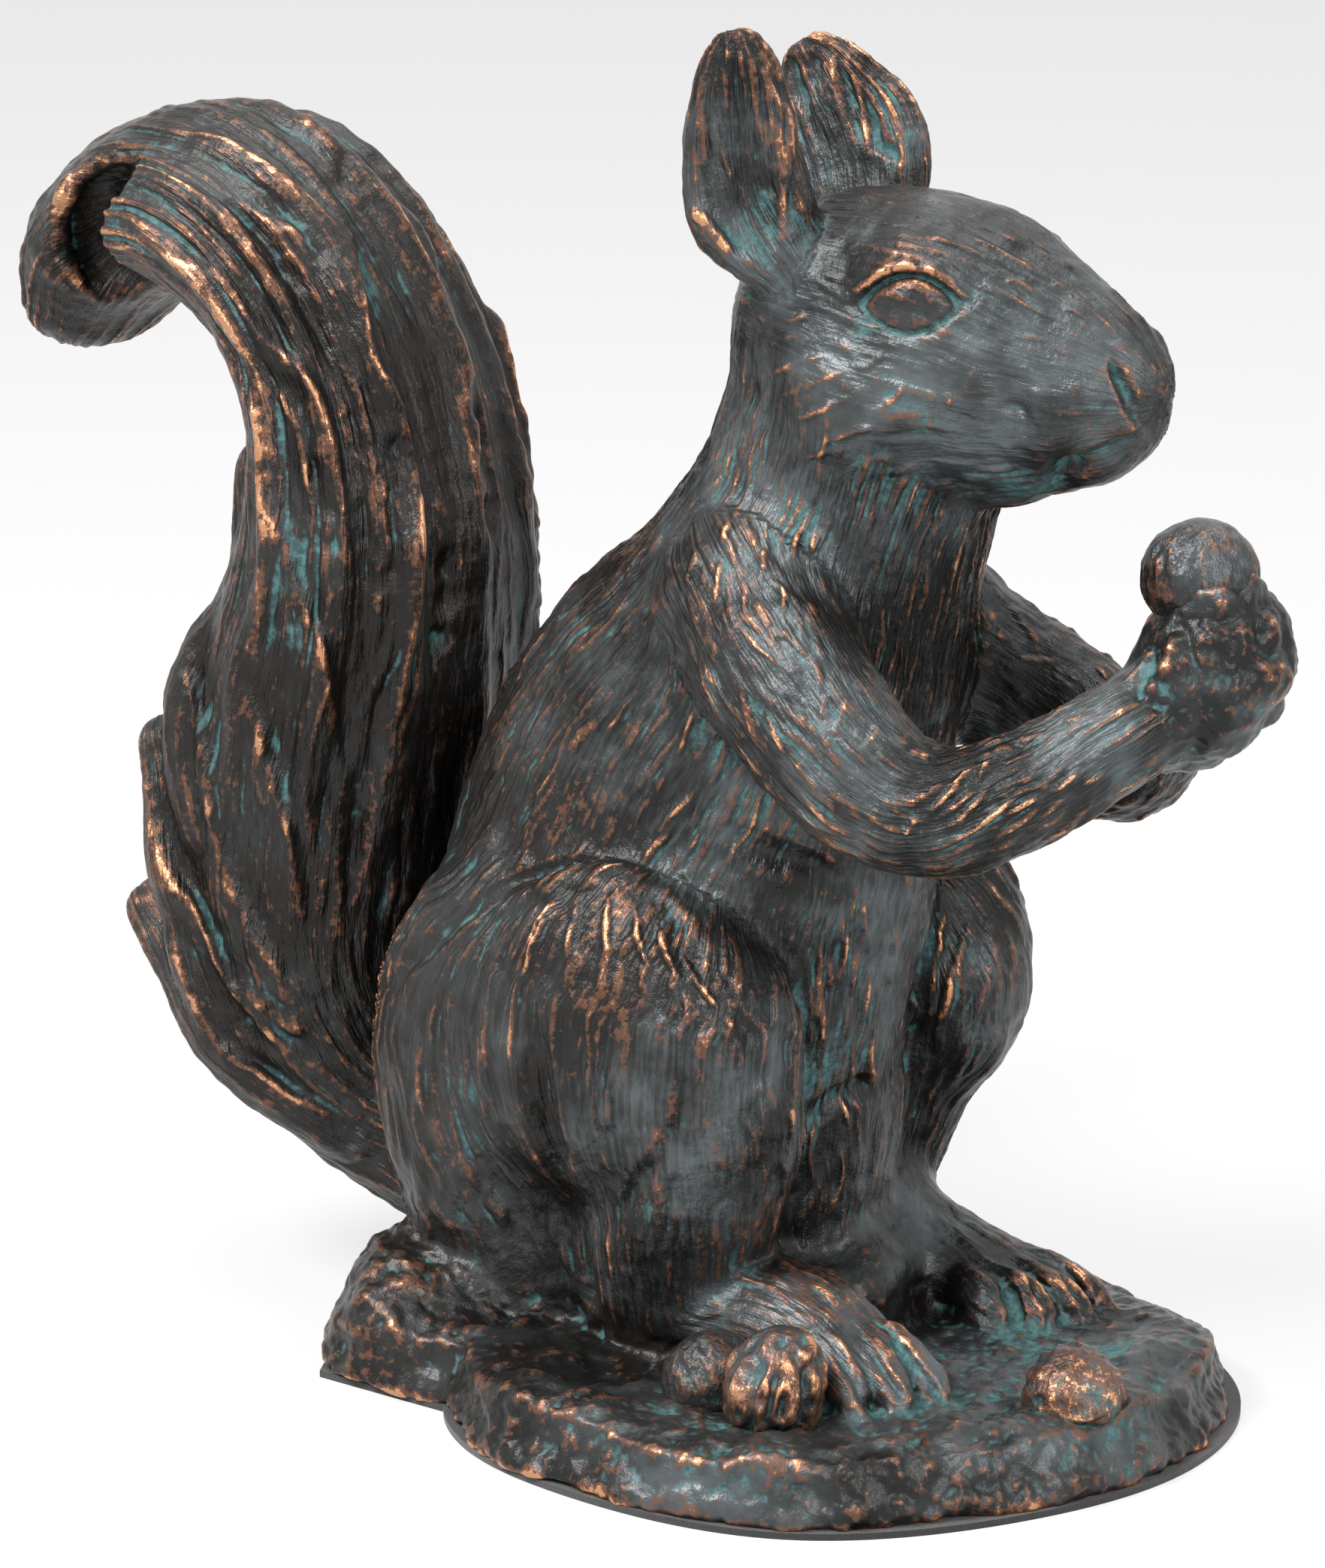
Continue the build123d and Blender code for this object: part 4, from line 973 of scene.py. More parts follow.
TARNISHED = [
    (2, -10, 85.5, 3.5, 1.0), (10, -9, 81, 2, 1.0), (17, -8, 82, 2.5, 0.9), (19, -3, 69.5, 3.5, 1.0),
    (27, -3, 75, 2.5, 0.8), (0, 5, 90, 5, 0.8), (4, -5, 87, 4, 0.5), (13, -9, 62, 5, 0.6), (9, -11, 69, 5, 0.5),
    (3, -15, 48, 7, 0.5), (33, -5, 57, 5, 0.8), (36, 2, 61, 4, 0.6), (4, -6, 25, 6, 0.6), (9, 6, 22, 6, 0.7),
    (17, -12, 5, 4, 0.9), (20, 3, 5, 7, 0.8), (14, 0, 6, 7, 0.7), (-48, -11, 68, 7, 0.8), (-62, -9, 80, 4, 0.8),
    (-38, -12, 56, 6, 0.5), (-44, -12, 45, 6, 0.5), (-13, -20, 18, 5, 0.6), (-60, -8, 87, 6, 0.5),
    (-20, -16, 42, 6, 0.4), (28, -10, 5, 8, 0.7), (12, -28, 5, 8, 0.6), (24, 8, 5, 8, 0.5), (-52, 0, 90, 8, 0.3),
]
# Deep folds that stay dark: painted shade, taken off how open they are
SHADED = [
    (-10.6, -20, 30, 2.4, 0.5), (-10.4, -19.6, 26, 2.6, 0.75), (-10.3, -19.2, 21.5, 2.8, 0.85),
    (-10.2, -18.4, 16.5, 2.8, 0.85), (-10.1, -17.4, 11, 2.8, 0.8),
]


def painted(vertices, spots):
    """Strongest of the painted spots at each vertex"""
    found = np.zeros(len(vertices))
    for x, y, z, radius, strength in spots:
        squared = ((vertices - (x, y, z)) ** 2).sum(1)
        found = np.maximum(found, strength * np.exp(-squared / radius**2))
    return found


# Skin of the whole figure

EAR_FORMS = {"near_ear": ("right_ear", NEAR_EAR_FORM), "far_ear": ("left_ear", FAR_EAR_FORM)}
TAIL_SECTIONS = ["tail_root", "tail_plume", "tail_bend", "tail_curl"]
TAIL_JOINT_POINTS = [(-46.0, 25.0), (-39.5, 64.0), (-53.0, 81.6)]
PAW_GROUPS = ("left_foreleg", "right_foreleg")
# Roughness of stone, flesh and paws: height, size and seed of its noise, and octaves
ROCK, GRIT, LUMPS = (0.42, 3.0, 21), (0.16, 0.9, 31, 2), (0.13, 2.4, 41)
KNOBS, KNUCKLES, KNOB_DROP = (0.9, 3.2, 51), (0.26, 1.4, 55), 0.45
# Where the web between the feet begins, upward and forward, where the paws' knobs begin and where the back turns
# browner and darker, a brown tone with painted shade
WEB_RISE, WEB_FRONT, KNOB_FRONT, BACK_BROWN_AND_SHADE_SPAN = (6.4, 8.5), (-14, -10), (27, 31), (4, -26)
# How uneven the fur's height is: middle, spread, size and seed
FUR_UNEVEN = (0.75, 0.5, 7.0, 5)
# Lead of a group's nearest form over which its carving fades
GROUP_FADE = (1.3, 0.2)
# Lead over which the fur calms down where runs meet, and depth below which other forms hide it
CALM_LEAD, CALM_DEPTH = (0.0, 0.5), (2.4, 1.2)
# Rounds in which the three meshes are smoothed and settled, and the last light smoothing
FIRST_SETTLE, SECOND_SMOOTH, SECOND_SETTLE, THIRD_SMOOTH, LAST_SMOOTH = 2, 1, 1, 3, (1, 0.3)
# Steps outward at which a vertex looks how open its surroundings are
OPEN_REACHES = (1.0, 2.5, 4.5)
# Rounds of smoothing between the levels that the patina compares, and the weights of the two finer ones
SMOOTHING_ROUNDS = (3, 9, 24)
RIDGE_WEIGHTS = (8, 3)


def nearest_travel(tube, place):
    """How far along a tube a point of its mid-plane lies"""
    target = np.array([place[0], 0, place[1]])
    return tube.travel[np.argmin(((tube.points - target) ** 2).sum(1))]


def measure_forms(vertices, quads):
    """Distance to every form, with the coordinates of tubes evened out where fur grows, and the forms' groups"""
    measured = {name: form.coordinates(vertices) if isinstance(form, Tube) else (form(vertices),)
                for name, group, form, blend in FORMS}
    groups = {name: group for name, group, form, blend in FORMS}
    measured |= {name: form.coordinates(vertices) for name, (group, form) in EAR_FORMS.items()}
    measured["slab"] = (slab(vertices),)
    for name, (group, form) in HAUNCH_FLOW.items():
        apart = np.min([measured[member][0] for member in groups if groups[member] == group], axis=0)
        measured[name] = (apart, *form.coordinates(vertices)[1:])
    groups |= {name: group for name, (group, form) in (EAR_FORMS | HAUNCH_FLOW).items()}
    groups["slab"] = "base_casting"
    mesh = Neighbours(quads, len(vertices))
    for name in ALL_FUR:
        evened = mesh.smooth(np.stack(measured[name][1:], -1), COORDINATE_ROUNDS)
        measured[name] = (measured[name][0], *evened.T)
    return measured, groups


def relief(fine, normals, measured, group_weights, carry):
    """Height of the carving, the fur and the roughness at the finest vertices"""
    stone, flesh = group_weights["base_casting"], 1 - group_weights["base_casting"]
    height = carve(fine, normals, group_weights)
    height += skin_detail(fine, measured, carry) * flesh * uneven(fine, *FUR_UNEVEN)
    height += group_weights["tail"] * tail_ribs(*[carry(values) for values in measured["tail"][1:]], fine)
    webbed = smoothstep(*WEB_RISE, fine[:, 2]) * smoothstep(*WEB_FRONT, fine[:, 0])
    height += stone * (1 - 0.7 * webbed) * (ROCK[0] * rough(fine, *ROCK[1:]) + GRIT[0] * rough(fine, *GRIT[1:]))
    height += LUMPS[0] * rough(fine, *LUMPS[1:]) * flesh
    knobs = KNOBS[0] * np.abs(noise(fine, *KNOBS[1:])) - KNOB_DROP + KNUCKLES[0] * rough(fine, *KNUCKLES[1:])
    return height + group_weights["paws"] * smoothstep(*KNOB_FRONT, fine[:, 0]) * knobs


def edge_measures(fine, normals, around):
    """How far each vertex stands out from its near surroundings and from its wider ones"""
    levels = [fine]
    for rounds in SMOOTHING_ROUNDS:
        levels.append(around.smooth(levels[-1], rounds))
    least, small, large = (((levels[index] - levels[index + 1]) * normals).sum(1) for index in range(3))
    return least * RIDGE_WEIGHTS[0] + small * RIDGE_WEIGHTS[1], large


def piece_owners(vertices, measured, groups):
    """Name of the piece that each vertex belongs to: that of its nearest form, with tail and paws cut further"""
    chosen = np.stack([values[0] for values in measured.values()]).argmin(0)
    owners = np.array([groups[name] for name in measured], dtype=object)[chosen]
    tail = next(form for name, group, form, blend in FORMS if name == "tail")
    section = np.searchsorted([nearest_travel(tail, place) for place in TAIL_JOINT_POINTS], measured["tail"][1])
    in_tail, in_paws = owners == "tail", owners == "paws"
    owners[in_tail] = np.array(TAIL_SECTIONS, dtype=object)[section[in_tail]]
    owners[in_paws] = np.where(vertices[in_paws, 1] > 0, *PAW_GROUPS)
    return owners


def make_skin():
    """Mesh of the whole figure with its carving, its pieces and the measures that the patina and its painted shade
    need
    """
    vertices, quads = surface_nets(fine_grid(figure))
    vertices = settle(vertices, quads, FIRST_SETTLE)
    first = Refinement(quads, len(vertices))
    # How open each vertex is, from which the patina paints shade into the hollows
    open_share = first.carry(openness(vertices, vertex_normals(vertices, quads)))
    vertices, quads = first.carry(vertices), first.fine
    vertices = Neighbours(quads, len(vertices)).smooth(vertices, SECOND_SMOOTH)
    vertices = settle(vertices, quads, SECOND_SETTLE)

    measured, groups = measure_forms(vertices, quads)
    nearest = np.min([values[0] for values in measured.values()], axis=0)
    second = Refinement(quads, len(vertices))
    group_weights = {}
    for group in sorted(set(groups.values())):
        distance = np.min([measured[name][0] for name in measured if groups[name] == group], axis=0)
        group_weights[group] = second.carry(smoothstep(*GROUP_FADE, distance - nearest))
    flow, calm = fur_flow(measured, nearest)
    fine = second.carry(vertices)
    around = Neighbours(second.fine, len(fine))
    fine = around.smooth(fine, THIRD_SMOOTH)
    normals = vertex_normals(fine, second.fine)
    fine = fine + relief(fine, normals, measured, group_weights, second.carry)[:, None] * normals
    fine = around.smooth(fine, *LAST_SMOOTH)
    fine[:, 2] = np.maximum(fine[:, 2], SKIN_BOTTOM)
    normals = vertex_normals(fine, second.fine)

    ridge, swell = edge_measures(fine, normals, around)
    hairless = sum((1 - share) * group_weights[group] for group, share in HAIR_SHARES.items())
    measures = {
        "ridge": ridge,
        "swell": swell,
        # Openness, lowered by the painted shade of the deep folds
        "open": second.carry(open_share) * (1 - painted(fine, SHADED)),
        "rubbed": painted(fine, RUBBED),
        "tarnished": painted(fine, TARNISHED),
        "stone": group_weights["base_casting"],
        # Browner and darker towards the back: brown tone with painted shade low on tail and haunch
        "aged": smoothstep(*BACK_BROWN_AND_SHADE_SPAN, fine[:, 0]),
        "calm": second.carry(calm) * (1 - hairless),
        "flow": second.carry(flow),
    }
    owners = piece_owners(vertices, measured, groups)
    piece_names, codes = np.unique(owners.astype(str), return_inverse=True)
    return fine, second.fine, normals, measures, piece_names, np.tile(codes[quads[:, 0]], 4)


def openness(vertices, normals):
    """Share of the surroundings that a vertex sees, from a few steps outward"""
    seen = [np.clip(figure(vertices + normals * reach) / reach, 0, 1) for reach in OPEN_REACHES]
    return np.mean(seen, axis=0)


# Pieces

# How deep a piece's open rims are sunken, how far above the slab's underside they stay, and the slab's own middle
RIM_DEPTH, RIM_RISE, SLAB_HEART = 1.4, 0.1, 1.6


def closed_piece(name, quads, vertices, normals):
    """Quads of one piece with its open rims closed by sunken fans, over its own vertex numbers"""
    used, local = np.unique(quads, return_inverse=True)
    local = local.reshape(quads.shape)
    starts, ends = local.ravel(), np.roll(local, -1, 1).ravel()
    count = len(used)
    forward, backward = starts * count + ends, ends * count + starts
    rim = ~np.isin(forward, backward)
    rim_starts, rim_ends = starts[rim], ends[rim]
    parent = {vertex: vertex for vertex in np.union1d(rim_starts, rim_ends).tolist()}

    def root(vertex):
        while parent[vertex] != vertex:
            parent[vertex] = parent[parent[vertex]]
            vertex = parent[vertex]
        return vertex

    for start, end in zip(rim_starts.tolist(), rim_ends.tolist()):
        parent[root(start)] = root(end)
    rims, fans, made = {}, [], []
    for start, end in zip(rim_starts.tolist(), rim_ends.tolist()):
        rims.setdefault(root(start), []).append((start, end))
    for members in rims.values():
        corners = np.unique(members)
        sunken = vertices[used[corners]] - RIM_DEPTH * normals[used[corners]]
        sunken[:, 2] = np.maximum(sunken[:, 2], SLAB_BOTTOM + RIM_RISE)
        first = count + len(made)
        made.extend(sunken)
        lower = dict(zip(corners.tolist(), range(first, first + len(corners))))
        centre = count + len(made)
        heart = sunken.mean(0)
        if name == "base_casting":
            heart[2] = SLAB_HEART
        made.append(heart)
        fans += [(end, start, lower[start], lower[end]) for start, end in members]
        fans += [(lower[end], lower[start], centre) for start, end in members]
    return used, local, np.array(made).reshape(-1, 3), fans


def mesh_object(name, points, faces, normals=None, attributes=None):
    """Blender object from points in percent, with smooth faces"""
    mesh = bpy.data.meshes.new(name)
    mesh.from_pydata((np.asarray(points) * PERCENT).tolist(), [], faces)
    mesh.polygons.foreach_set("use_smooth", np.ones(len(mesh.polygons), bool))
    for key, values in (attributes or {}).items():
        flat = np.asarray(values, np.float32)
        if flat.ndim == 1:
            mesh.attributes.new(key, "FLOAT", "POINT").data.foreach_set("value", flat)
        else:
            mesh.attributes.new(key, "FLOAT_VECTOR", "POINT").data.foreach_set("vector", flat.ravel())
    if normals is not None:
        mesh.normals_split_custom_set_from_vertices(normals.tolist())
    piece = bpy.data.objects.new(name, mesh)
    bpy.context.scene.collection.objects.link(piece)
    return piece


def dress(piece, nodes, material):
    """Seat a piece on the frame and give it its finish"""
    piece.data.materials.append(material)
    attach(piece, "root")
    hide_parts(*nodes)
    return piece


def make_castings(material):
    """Cut the skin into the pieces that stand for the frame's castings"""
    vertices, quads, normals, measures, piece_names, face_codes = make_skin()
    for code, name in enumerate(piece_names):
        used, local, centres, fans = closed_piece(str(name), quads[face_codes == code], vertices, normals)
        points = np.vstack([vertices[used], centres])
        extra = len(centres)
        attributes = {key: np.concatenate([values[used], np.zeros((extra, *values.shape[1:]))])
                      for key, values in measures.items()}
        piece_normals = np.vstack([normals[used], np.tile((0.0, 0.0, 1.0), (extra, 1))])
        piece = mesh_object(f"{name}_skin", points, local.tolist() + fans, piece_normals, attributes)
        dress(piece, [str(name)], material)


# Nuts: centre, tip direction, diameter and height in percent, veins and cap
NUTS = {
    "held_nut": ((31.3, 0, 63.9), (0, 0, 1), 8.3, 8.5, 0.12, 0.0),
    "front_nut": ((11.2, -21.8, 7.0), (0.10, 0.15, 0.98), 6.7, 9.4, 0.36, 0.0),
    "rear_nut": ((5.0, -20.4, 5.8), (-0.60, 0.30, 0.74), 7.4, 7.6, 0.12, 0.0),
    "far_nut": ((26.8, -7.2, 5.1), (0.30, -0.55, 0.78), 7.2, 7.2, 0.15, 0.5),
}
NUT_WEAR = {"held_nut": 0.6, "front_nut": 1.5, "rear_nut": 0.5, "far_nut": 1.8}
NUT_RINGS, NUT_SIDES = 96, 160
# How a nut narrows below, its dents, its veins and the edge of its cap
NUT_TAPER, NUT_DENTS, NUT_GRAIN = 0.10, 0.05, 0.05
VEIN_SIZE, VEIN_STRETCH, VEIN_GRAIN = 0.75, 0.35, 0.5
CAP_EDGE, CAP_WANDER = (0.52, 0.60), 0.04


def make_nut(name, material):
    """Hazelnut: a closed round form with veins along it and, on one, a smooth cap"""
    centre, tip, diameter, height, veins, cap = NUTS[name]
    axis = Vector(tip).normalized()
    turn = np.array(axis.to_track_quat("Z", "Y").to_matrix())
    seed = 200 + len(name)
    rise = np.pi * (np.arange(1, NUT_RINGS) / NUT_RINGS - 0.5)
    angle = 2 * np.pi * np.arange(NUT_SIDES) / NUT_SIDES
    rise_grid, angle_grid = np.meshgrid(rise, angle, indexing="ij")
    direction = np.stack([np.cos(rise_grid) * np.cos(angle_grid), np.cos(rise_grid) * np.sin(angle_grid),
                          np.sin(rise_grid)], -1).reshape(-1, 3)
    direction = np.vstack([(0, 0, -1), direction, (0, 0, 1)])
    radii = np.array([diameter / 2, diameter / 2, height / 2])
    squeeze = 1 - NUT_TAPER * np.clip(-direction[:, 2], 0, 1) ** 2 + NUT_DENTS * noise(direction * 3, 2.0, seed)
    points = direction * radii * squeeze[:, None]
    stretched = points * (1, 1, VEIN_STRETCH)
    raised = veins * (1 - 2 * np.abs(noise(stretched, VEIN_SIZE, seed + 1))) * (1 - direction[:, 2] ** 4)
    raised += VEIN_GRAIN * veins * noise(points, 0.8, seed + 2) + NUT_GRAIN * rough(points, 1.2, seed + 3)
    spread = raised - raised.mean()
    raised += cap * smoothstep(*CAP_EDGE, direction[:, 2] + CAP_WANDER * noise(points, 1.5, seed + 4))
    points = points + raised[:, None] * direction
    sides = np.arange(NUT_SIDES)
    following = (sides + 1) % NUT_SIDES
    top = 1 + (NUT_RINGS - 2) * NUT_SIDES
    faces = [face for here in range(1, top, NUT_SIDES)
             for face in np.stack([sides, following, following + NUT_SIDES, sides + NUT_SIDES], -1) + here]
    faces += [(0, 1 + after, 1 + side) for side, after in zip(sides, following)]
    faces += [(len(points) - 1, top + side, top + after) for side, after in zip(sides, following)]
    faces = [[int(corner) for corner in face] for face in faces]
    placed = points @ turn.T + np.array(centre)
    count = len(placed)
    attributes = {
        "ridge": spread * 1.4,
        "swell": spread * 0.1,
        # Painted shade: the lower half of each nut counts as less open, so the patina darkens it towards its underside
        "open": np.clip(0.55 + 0.45 * (placed[:, 2] - centre[2]) / height * 2, 0, 1),
        "rubbed": np.full(count, NUT_WEAR[name]),
        "tarnished": painted(placed, TARNISHED) * 0.6,
        "stone": np.zeros(count),
        "aged": np.zeros(count),
        "calm": np.full(count, 0.6),
        "flow": placed * (1, 1, 3),
    }
    piece = mesh_object(f"{name}_skin", placed, faces, None, attributes)
    return dress(piece, [name], material)


# Materials

class Signal:
    """Output of a node, which sums and products take like a number"""

    def __init__(self, nodes, socket):
        self.nodes, self.socket = nodes, socket

    def __add__(self, other):
        return self.nodes.math("ADD", self, other)

    def __sub__(self, other):
        return self.nodes.math("SUBTRACT", self, other)

    def __rsub__(self, other):
        return self.nodes.math("SUBTRACT", other, self)

    def __mul__(self, other):
        return self.nodes.math("MULTIPLY", self, other)


class Nodes:
    """Short hand for building the node tree of a material or of the world"""

    def __init__(self, owner, shader="Principled BSDF", output="Material Output"):
        owner.use_nodes = True
        self.owner, self.tree = owner, owner.node_tree
        self.shader, self.output = self.tree.nodes[shader], self.tree.nodes[output]

    def put(self, value, socket):
        """Feed an input with a number, a colour, a scale or the output of a node"""
        if isinstance(value, Signal):
            self.tree.links.new(value.socket, socket)
        elif isinstance(value, tuple):
            socket.default_value = (*value, 1.0)[:len(socket.default_value)]
        else:
            socket.default_value = value

    def add(self, kind, inputs=None, output=0, **settings):
        """New node with its settings and inputs, of which one output is handed back"""
        node = self.tree.nodes.new(kind)
        for key, value in settings.items():
            setattr(node, key, value)
        for key, value in (inputs or {}).items():
            self.put(value, node.inputs[key])
        return Signal(self, node.outputs[output])

    def finish(self, **inputs):
        """Give the shader its inputs, whose names have _ for a space"""
        for key, value in inputs.items():
            self.put(value, self.shader.inputs[key.replace("_", " ")])
        return self.owner

    def attribute(self, name, output="Fac"):
        return self.add("ShaderNodeAttribute", output=output, attribute_name=name)

    def noise(self, scale, detail=6.0, roughness=0.6, stretch=None, along=None):
        where = self.attribute(along, "Vector") if along else self.add("ShaderNodeTexCoord", output="Object")
        if stretch:
            where = self.add("ShaderNodeMapping", {"Vector": where, "Scale": stretch})
        return self.add("ShaderNodeTexNoise",
                        {"Vector": where, "Scale": scale, "Detail": detail, "Roughness": roughness}, "Fac")

    def math(self, operation, first, second=0.0):
        return self.add("ShaderNodeMath", {0: first, 1: second}, operation=operation)

    def step(self, value, low, high):
        return self.add("ShaderNodeMapRange", {"Value": value, "From Min": low, "From Max": high}, "Result",
                        interpolation_type="SMOOTHSTEP")

    def mix(self, share, first, second):
        return self.add("ShaderNodeMix", {"Factor": share, 6: first, 7: second}, 2, data_type="RGBA")

    def bump(self, height, distance, strength=1.0, normal=None):
        inputs = {"Height": height, "Distance": distance, "Strength": strength}
        return self.add("ShaderNodeBump", inputs | ({"Normal": normal} if normal else {}), "Normal")

    def show_white(self, share, white):
        """Let the camera, reflections and glass see a white shader in place of the plain one, by a share"""
        path = self.tree.nodes.new("ShaderNodeLightPath").outputs
        camera, glossy, clear = (Signal(self, path[f"Is {kind} Ray"])
                                 for kind in ("Camera", "Glossy", "Transmission"))
        seen = self.math("MAXIMUM", self.math("MAXIMUM", camera, glossy), clear)
        plain = Signal(self, self.shader.outputs[0])
        joined = self.add("ShaderNodeMixShader", {"Fac": seen * share, 1: plain, 2: white})
        self.put(joined, self.output.inputs["Surface"])


DARK_METAL = (0.013, 0.014, 0.014)
GREY_METAL = (0.110, 0.126, 0.132)
# Dark brown, both for brown patina and for painted shade
BROWN_AND_SHADE_METAL = (0.016, 0.013, 0.011)
COPPER = (0.58, 0.29, 0.155)
DEEP_COPPER = (0.20, 0.085, 0.045)
VERDIGRIS = (0.072, 0.195, 0.192)
DEEP_VERDIGRIS = (0.020, 0.062, 0.066)
# Felt under the slab, dark enough to serve also as the painted shadow line along the slab's foot
FELT_AND_SHADOW_DARK, FELT_LIGHT, FELT_DUST = (0.010, 0.010, 0.011), (0.040, 0.038, 0.036), (0.02, 0.02, 0.022)
BRASS_LOW, BRASS_HIGH = (0.55, 0.36, 0.12), (0.78, 0.57, 0.24)
STEEL_LOW, STEEL_HIGH = (0.42, 0.43, 0.44), (0.62, 0.63, 0.64)
FLOOR_GREY, WHITE = (0.82, 0.82, 0.82), (1.0, 1.0, 1.0)


def patina_material():
    """Dark bronze with copper rubbed bright on its ridges and verdigris left in its hollows, with painted shade that
    darkens its hollows, its deep folds and its back towards brown
    """
    nodes = Nodes(bpy.data.materials.new("patinated_bronze"))
    ridge, swell, opened, rubbed, tarnished, stone, aged, calm = (
        nodes.attribute(name) for name in ("ridge", "swell", "open", "rubbed", "tarnished", "stone", "aged", "calm"))
    furred = calm * (1.0 - stone)
    strand = (nodes.noise(1.0, 3.0, 0.55, (1.25, 1.25, 0.14), "flow") - 0.5) * furred
    hair = (nodes.noise(1.0, 3.0, 0.6, (3.6, 3.6, 0.55), "flow") - 0.5) * furred
    cloud, patch = nodes.noise(38.0), nodes.noise(110.0, 5.0, 0.65)
    speck, grain = nodes.noise(900.0, 4.0, 0.7), nodes.noise(2600.0, 3.0, 0.6)

    ground = nodes.mix(nodes.step(cloud + hair * 0.3, 0.42, 0.68), DARK_METAL, GREY_METAL)
    # Brown patches at random, and the back of the figure, brown with painted shade
    brown_and_back_shade = nodes.math("MAXIMUM", nodes.step(nodes.noise(60.0), 0.42, 0.66) * 0.7, aged * 0.95)
    # Painted shade: where a vertex sees little of its surroundings, the ground turns dark brown; shade also takes in
    # the brown patches and the browner back
    shade = nodes.math("MAXIMUM", nodes.step(opened, 0.80, 0.30), brown_and_back_shade)
    ground = nodes.mix(shade * 0.85, ground, BROWN_AND_SHADE_METAL)

    wear = ridge * 1.15 + rubbed * 0.30 + (patch - 0.5) * 1.5 + (speck - 0.5) * 1.9
    wear = wear + strand * 1.2 + hair * 0.9 + swell * 0.6
    worn = nodes.step(wear - stone * 0.08, 0.74, 0.94) * nodes.step(opened, 0.25, 0.7)
    warm = nodes.step(wear, 0.26, 0.56) * 0.6 * nodes.step(opened, 0.2, 0.6)

    green = tarnished * 0.42 - ridge * 0.9 + (patch - 0.5) * 1.5 + (cloud - 0.5) * 1.3
    greened = nodes.step(green - strand * 1.2 + stone * 0.02, 0.30, 0.66) * 0.85
    verdigris = nodes.mix(nodes.step(speck, 0.35, 0.65), DEEP_VERDIGRIS, VERDIGRIS)
    colour = nodes.mix(greened, nodes.mix(warm, ground, DEEP_COPPER), verdigris)
    dull = greened * (1.0 - worn)

    normal = nodes.bump(strand, 0.0009, 0.8)
    for height, distance, strength in ((hair, 0.0003, 0.7), (patch, 0.0010, 0.5), (speck, 0.00028, 0.6),
                                       (grain, 0.00005, 0.5)):
        normal = nodes.bump(height, distance, strength, normal)
    return nodes.finish(Base_Color=nodes.mix(worn, colour, COPPER), Metallic=0.55 - dull * 0.5 + worn * 0.30,
                        Roughness=(cloud - 0.5) * 0.25 + dull * 0.35 - worn * 0.04 + 0.32, Normal=normal)


def felt_material():
    """Short dark felt under the slab, whose dark band along the slab's foot also stands in as painted shadow"""
    nodes = Nodes(bpy.data.materials.new("dark_felt_and_shadow_line"))
    fibre = nodes.noise(1800.0, 8.0, 0.75)
    colour = nodes.mix(fibre, FELT_AND_SHADOW_DARK, FELT_LIGHT)
    return nodes.finish(Base_Color=nodes.mix(nodes.noise(300.0) * 0.3, colour, FELT_DUST), Roughness=0.95,
                        Sheen_Weight=0.4, Normal=nodes.bump(fibre, 0.0002))


def machined_material(name, low, high, roughness, scale, stretch):
    """Turned or rolled metal with fine tool marks along one direction"""
    nodes = Nodes(bpy.data.materials.new(name))
    marks = nodes.noise(scale, 4.0, 0.6, stretch)
    return nodes.finish(Base_Color=nodes.mix(marks, low, high), Metallic=1.0,
                        Roughness=nodes.noise(120.0) * 0.15 + roughness, Normal=nodes.bump(marks, 0.00005, 0.6))


def finish_node(name, material):
    """New material on a node of the frame that stays in sight"""
    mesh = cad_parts[name].data
    mesh.materials.clear()
    mesh.materials.append(material)


# Stage, light and camera

FLOOR_HALF = 6.0
# Share of white that the camera sees in the floor, and the strength of the surroundings
FLOOR_GLOW, WORLD_STRENGTH = 0.72, 0.19
# Lamps: place and size in metres, and power in watts
AIM = (-0.02, 0, 0.10)
LAMPS = {"key": ((-0.35, -0.75, 1.05), 0.5, 20.0), "side": ((0.95, -0.35, 0.55), 0.5, 6.0),
         "top": ((-0.1, 0.25, 1.2), 0.7, 7.0)}


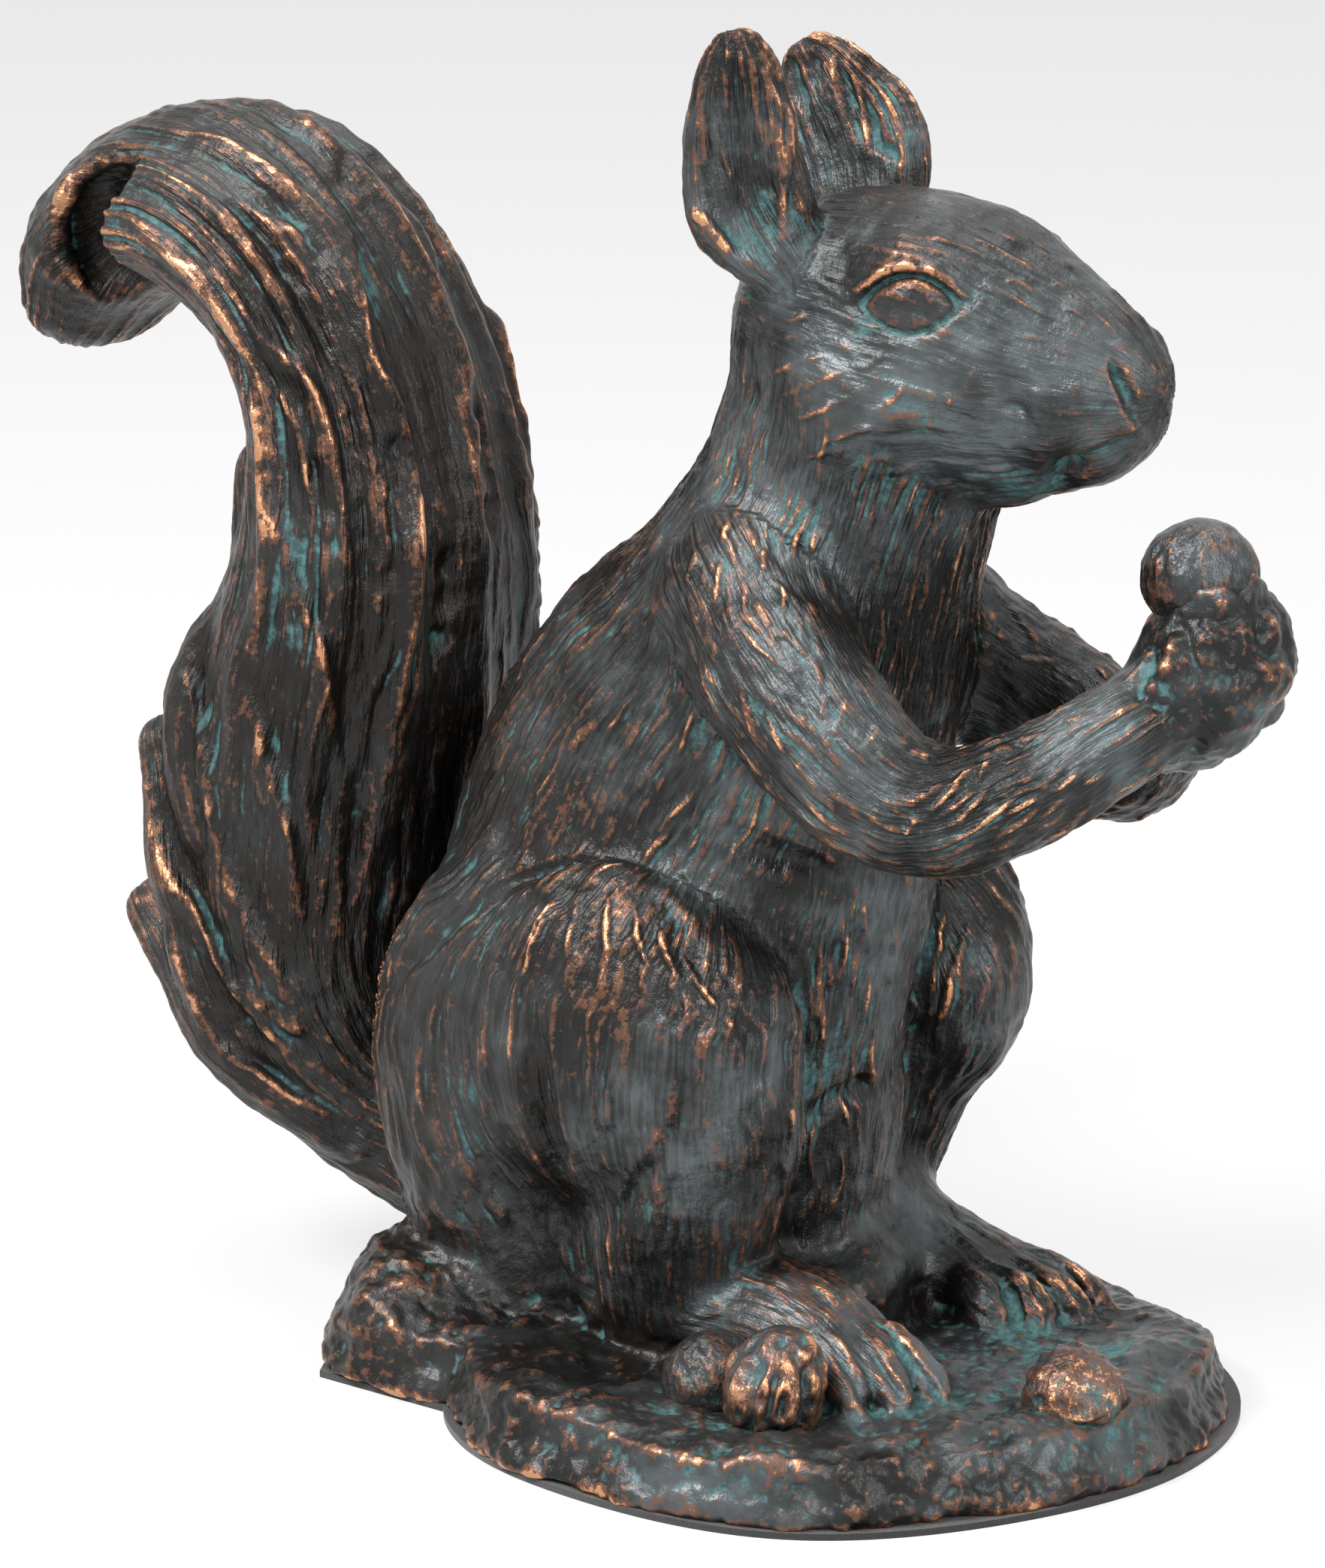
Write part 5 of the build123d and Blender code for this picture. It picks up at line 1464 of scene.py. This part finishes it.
def make_stage():
    """Pale floor that keeps the figure's shadow"""
    mesh = bpy.data.meshes.new("floor")
    corners = [(x * FLOOR_HALF, y * FLOOR_HALF, 0) for x, y in ((-1, -1), (1, -1), (1, 1), (-1, 1))]
    mesh.from_pydata(corners, [], [(0, 1, 2, 3)])
    floor = bpy.data.objects.new("floor", mesh)
    bpy.context.scene.collection.objects.link(floor)
    nodes = Nodes(bpy.data.materials.new("pale_floor"))
    mesh.materials.append(nodes.finish(Base_Color=FLOOR_GREY, Roughness=0.9, Specular_IOR_Level=0.0))
    nodes.show_white(FLOOR_GLOW, nodes.add("ShaderNodeEmission", {"Color": WHITE}))


def make_world():
    """Soft grey surroundings that look white to the camera and in reflections"""
    world = bpy.data.worlds.new("studio")
    bpy.context.scene.world = world
    nodes = Nodes(world, "Background", "World Output")
    nodes.finish(Color=WHITE, Strength=WORLD_STRENGTH)
    nodes.show_white(1.0, nodes.add("ShaderNodeBackground", {"Color": WHITE}))


def make_lamps():
    """Soft square lamps that point at the figure"""
    for name, (place, size, power) in LAMPS.items():
        lamp = bpy.data.lights.new(name, "AREA")
        lamp.shape, lamp.size, lamp.energy = "SQUARE", size, power
        holder = bpy.data.objects.new(name, lamp)
        bpy.context.scene.collection.objects.link(holder)
        holder.location = place
        holder.rotation_euler = (Vector(AIM) - Vector(place)).to_track_quat("-Z", "Y").to_euler()


def make_camera():
    """Camera at the photograph's viewing angle"""
    data = bpy.data.cameras.new("camera")
    data.sensor_width = SENSOR
    data.lens = SENSOR * FOCAL_PIXELS / PHOTO_HEIGHT
    camera = bpy.data.objects.new("camera", data)
    bpy.context.scene.collection.objects.link(camera)
    camera.location = (CAMERA_TARGET + CAMERA_DISTANCE * BACK) * PERCENT
    camera.rotation_euler = Vector(BACK).to_track_quat("Z", "Y").to_euler()
    bpy.context.scene.camera = camera


make_camera()
make_stage()
make_world()
make_lamps()

patina = patina_material()
make_castings(patina)
for nut_name in NUTS:
    make_nut(nut_name, patina)

felt = felt_material()
brass = machined_material("turned_brass", BRASS_LOW, BRASS_HIGH, 0.25, 900.0, (1, 1, 8))
steel = machined_material("fixing_steel", STEEL_LOW, STEEL_HIGH, 0.3, 700.0, (1, 1, 6))
finish_node("base_felt", felt)
for node_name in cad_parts:
    if node_name.endswith("_dowel"):
        finish_node(node_name, brass)
    elif node_name.endswith(("_stud", "_washer", "_hex_nut")):
        finish_node(node_name, steel)

bpy.context.scene.view_settings.view_transform = "Standard"
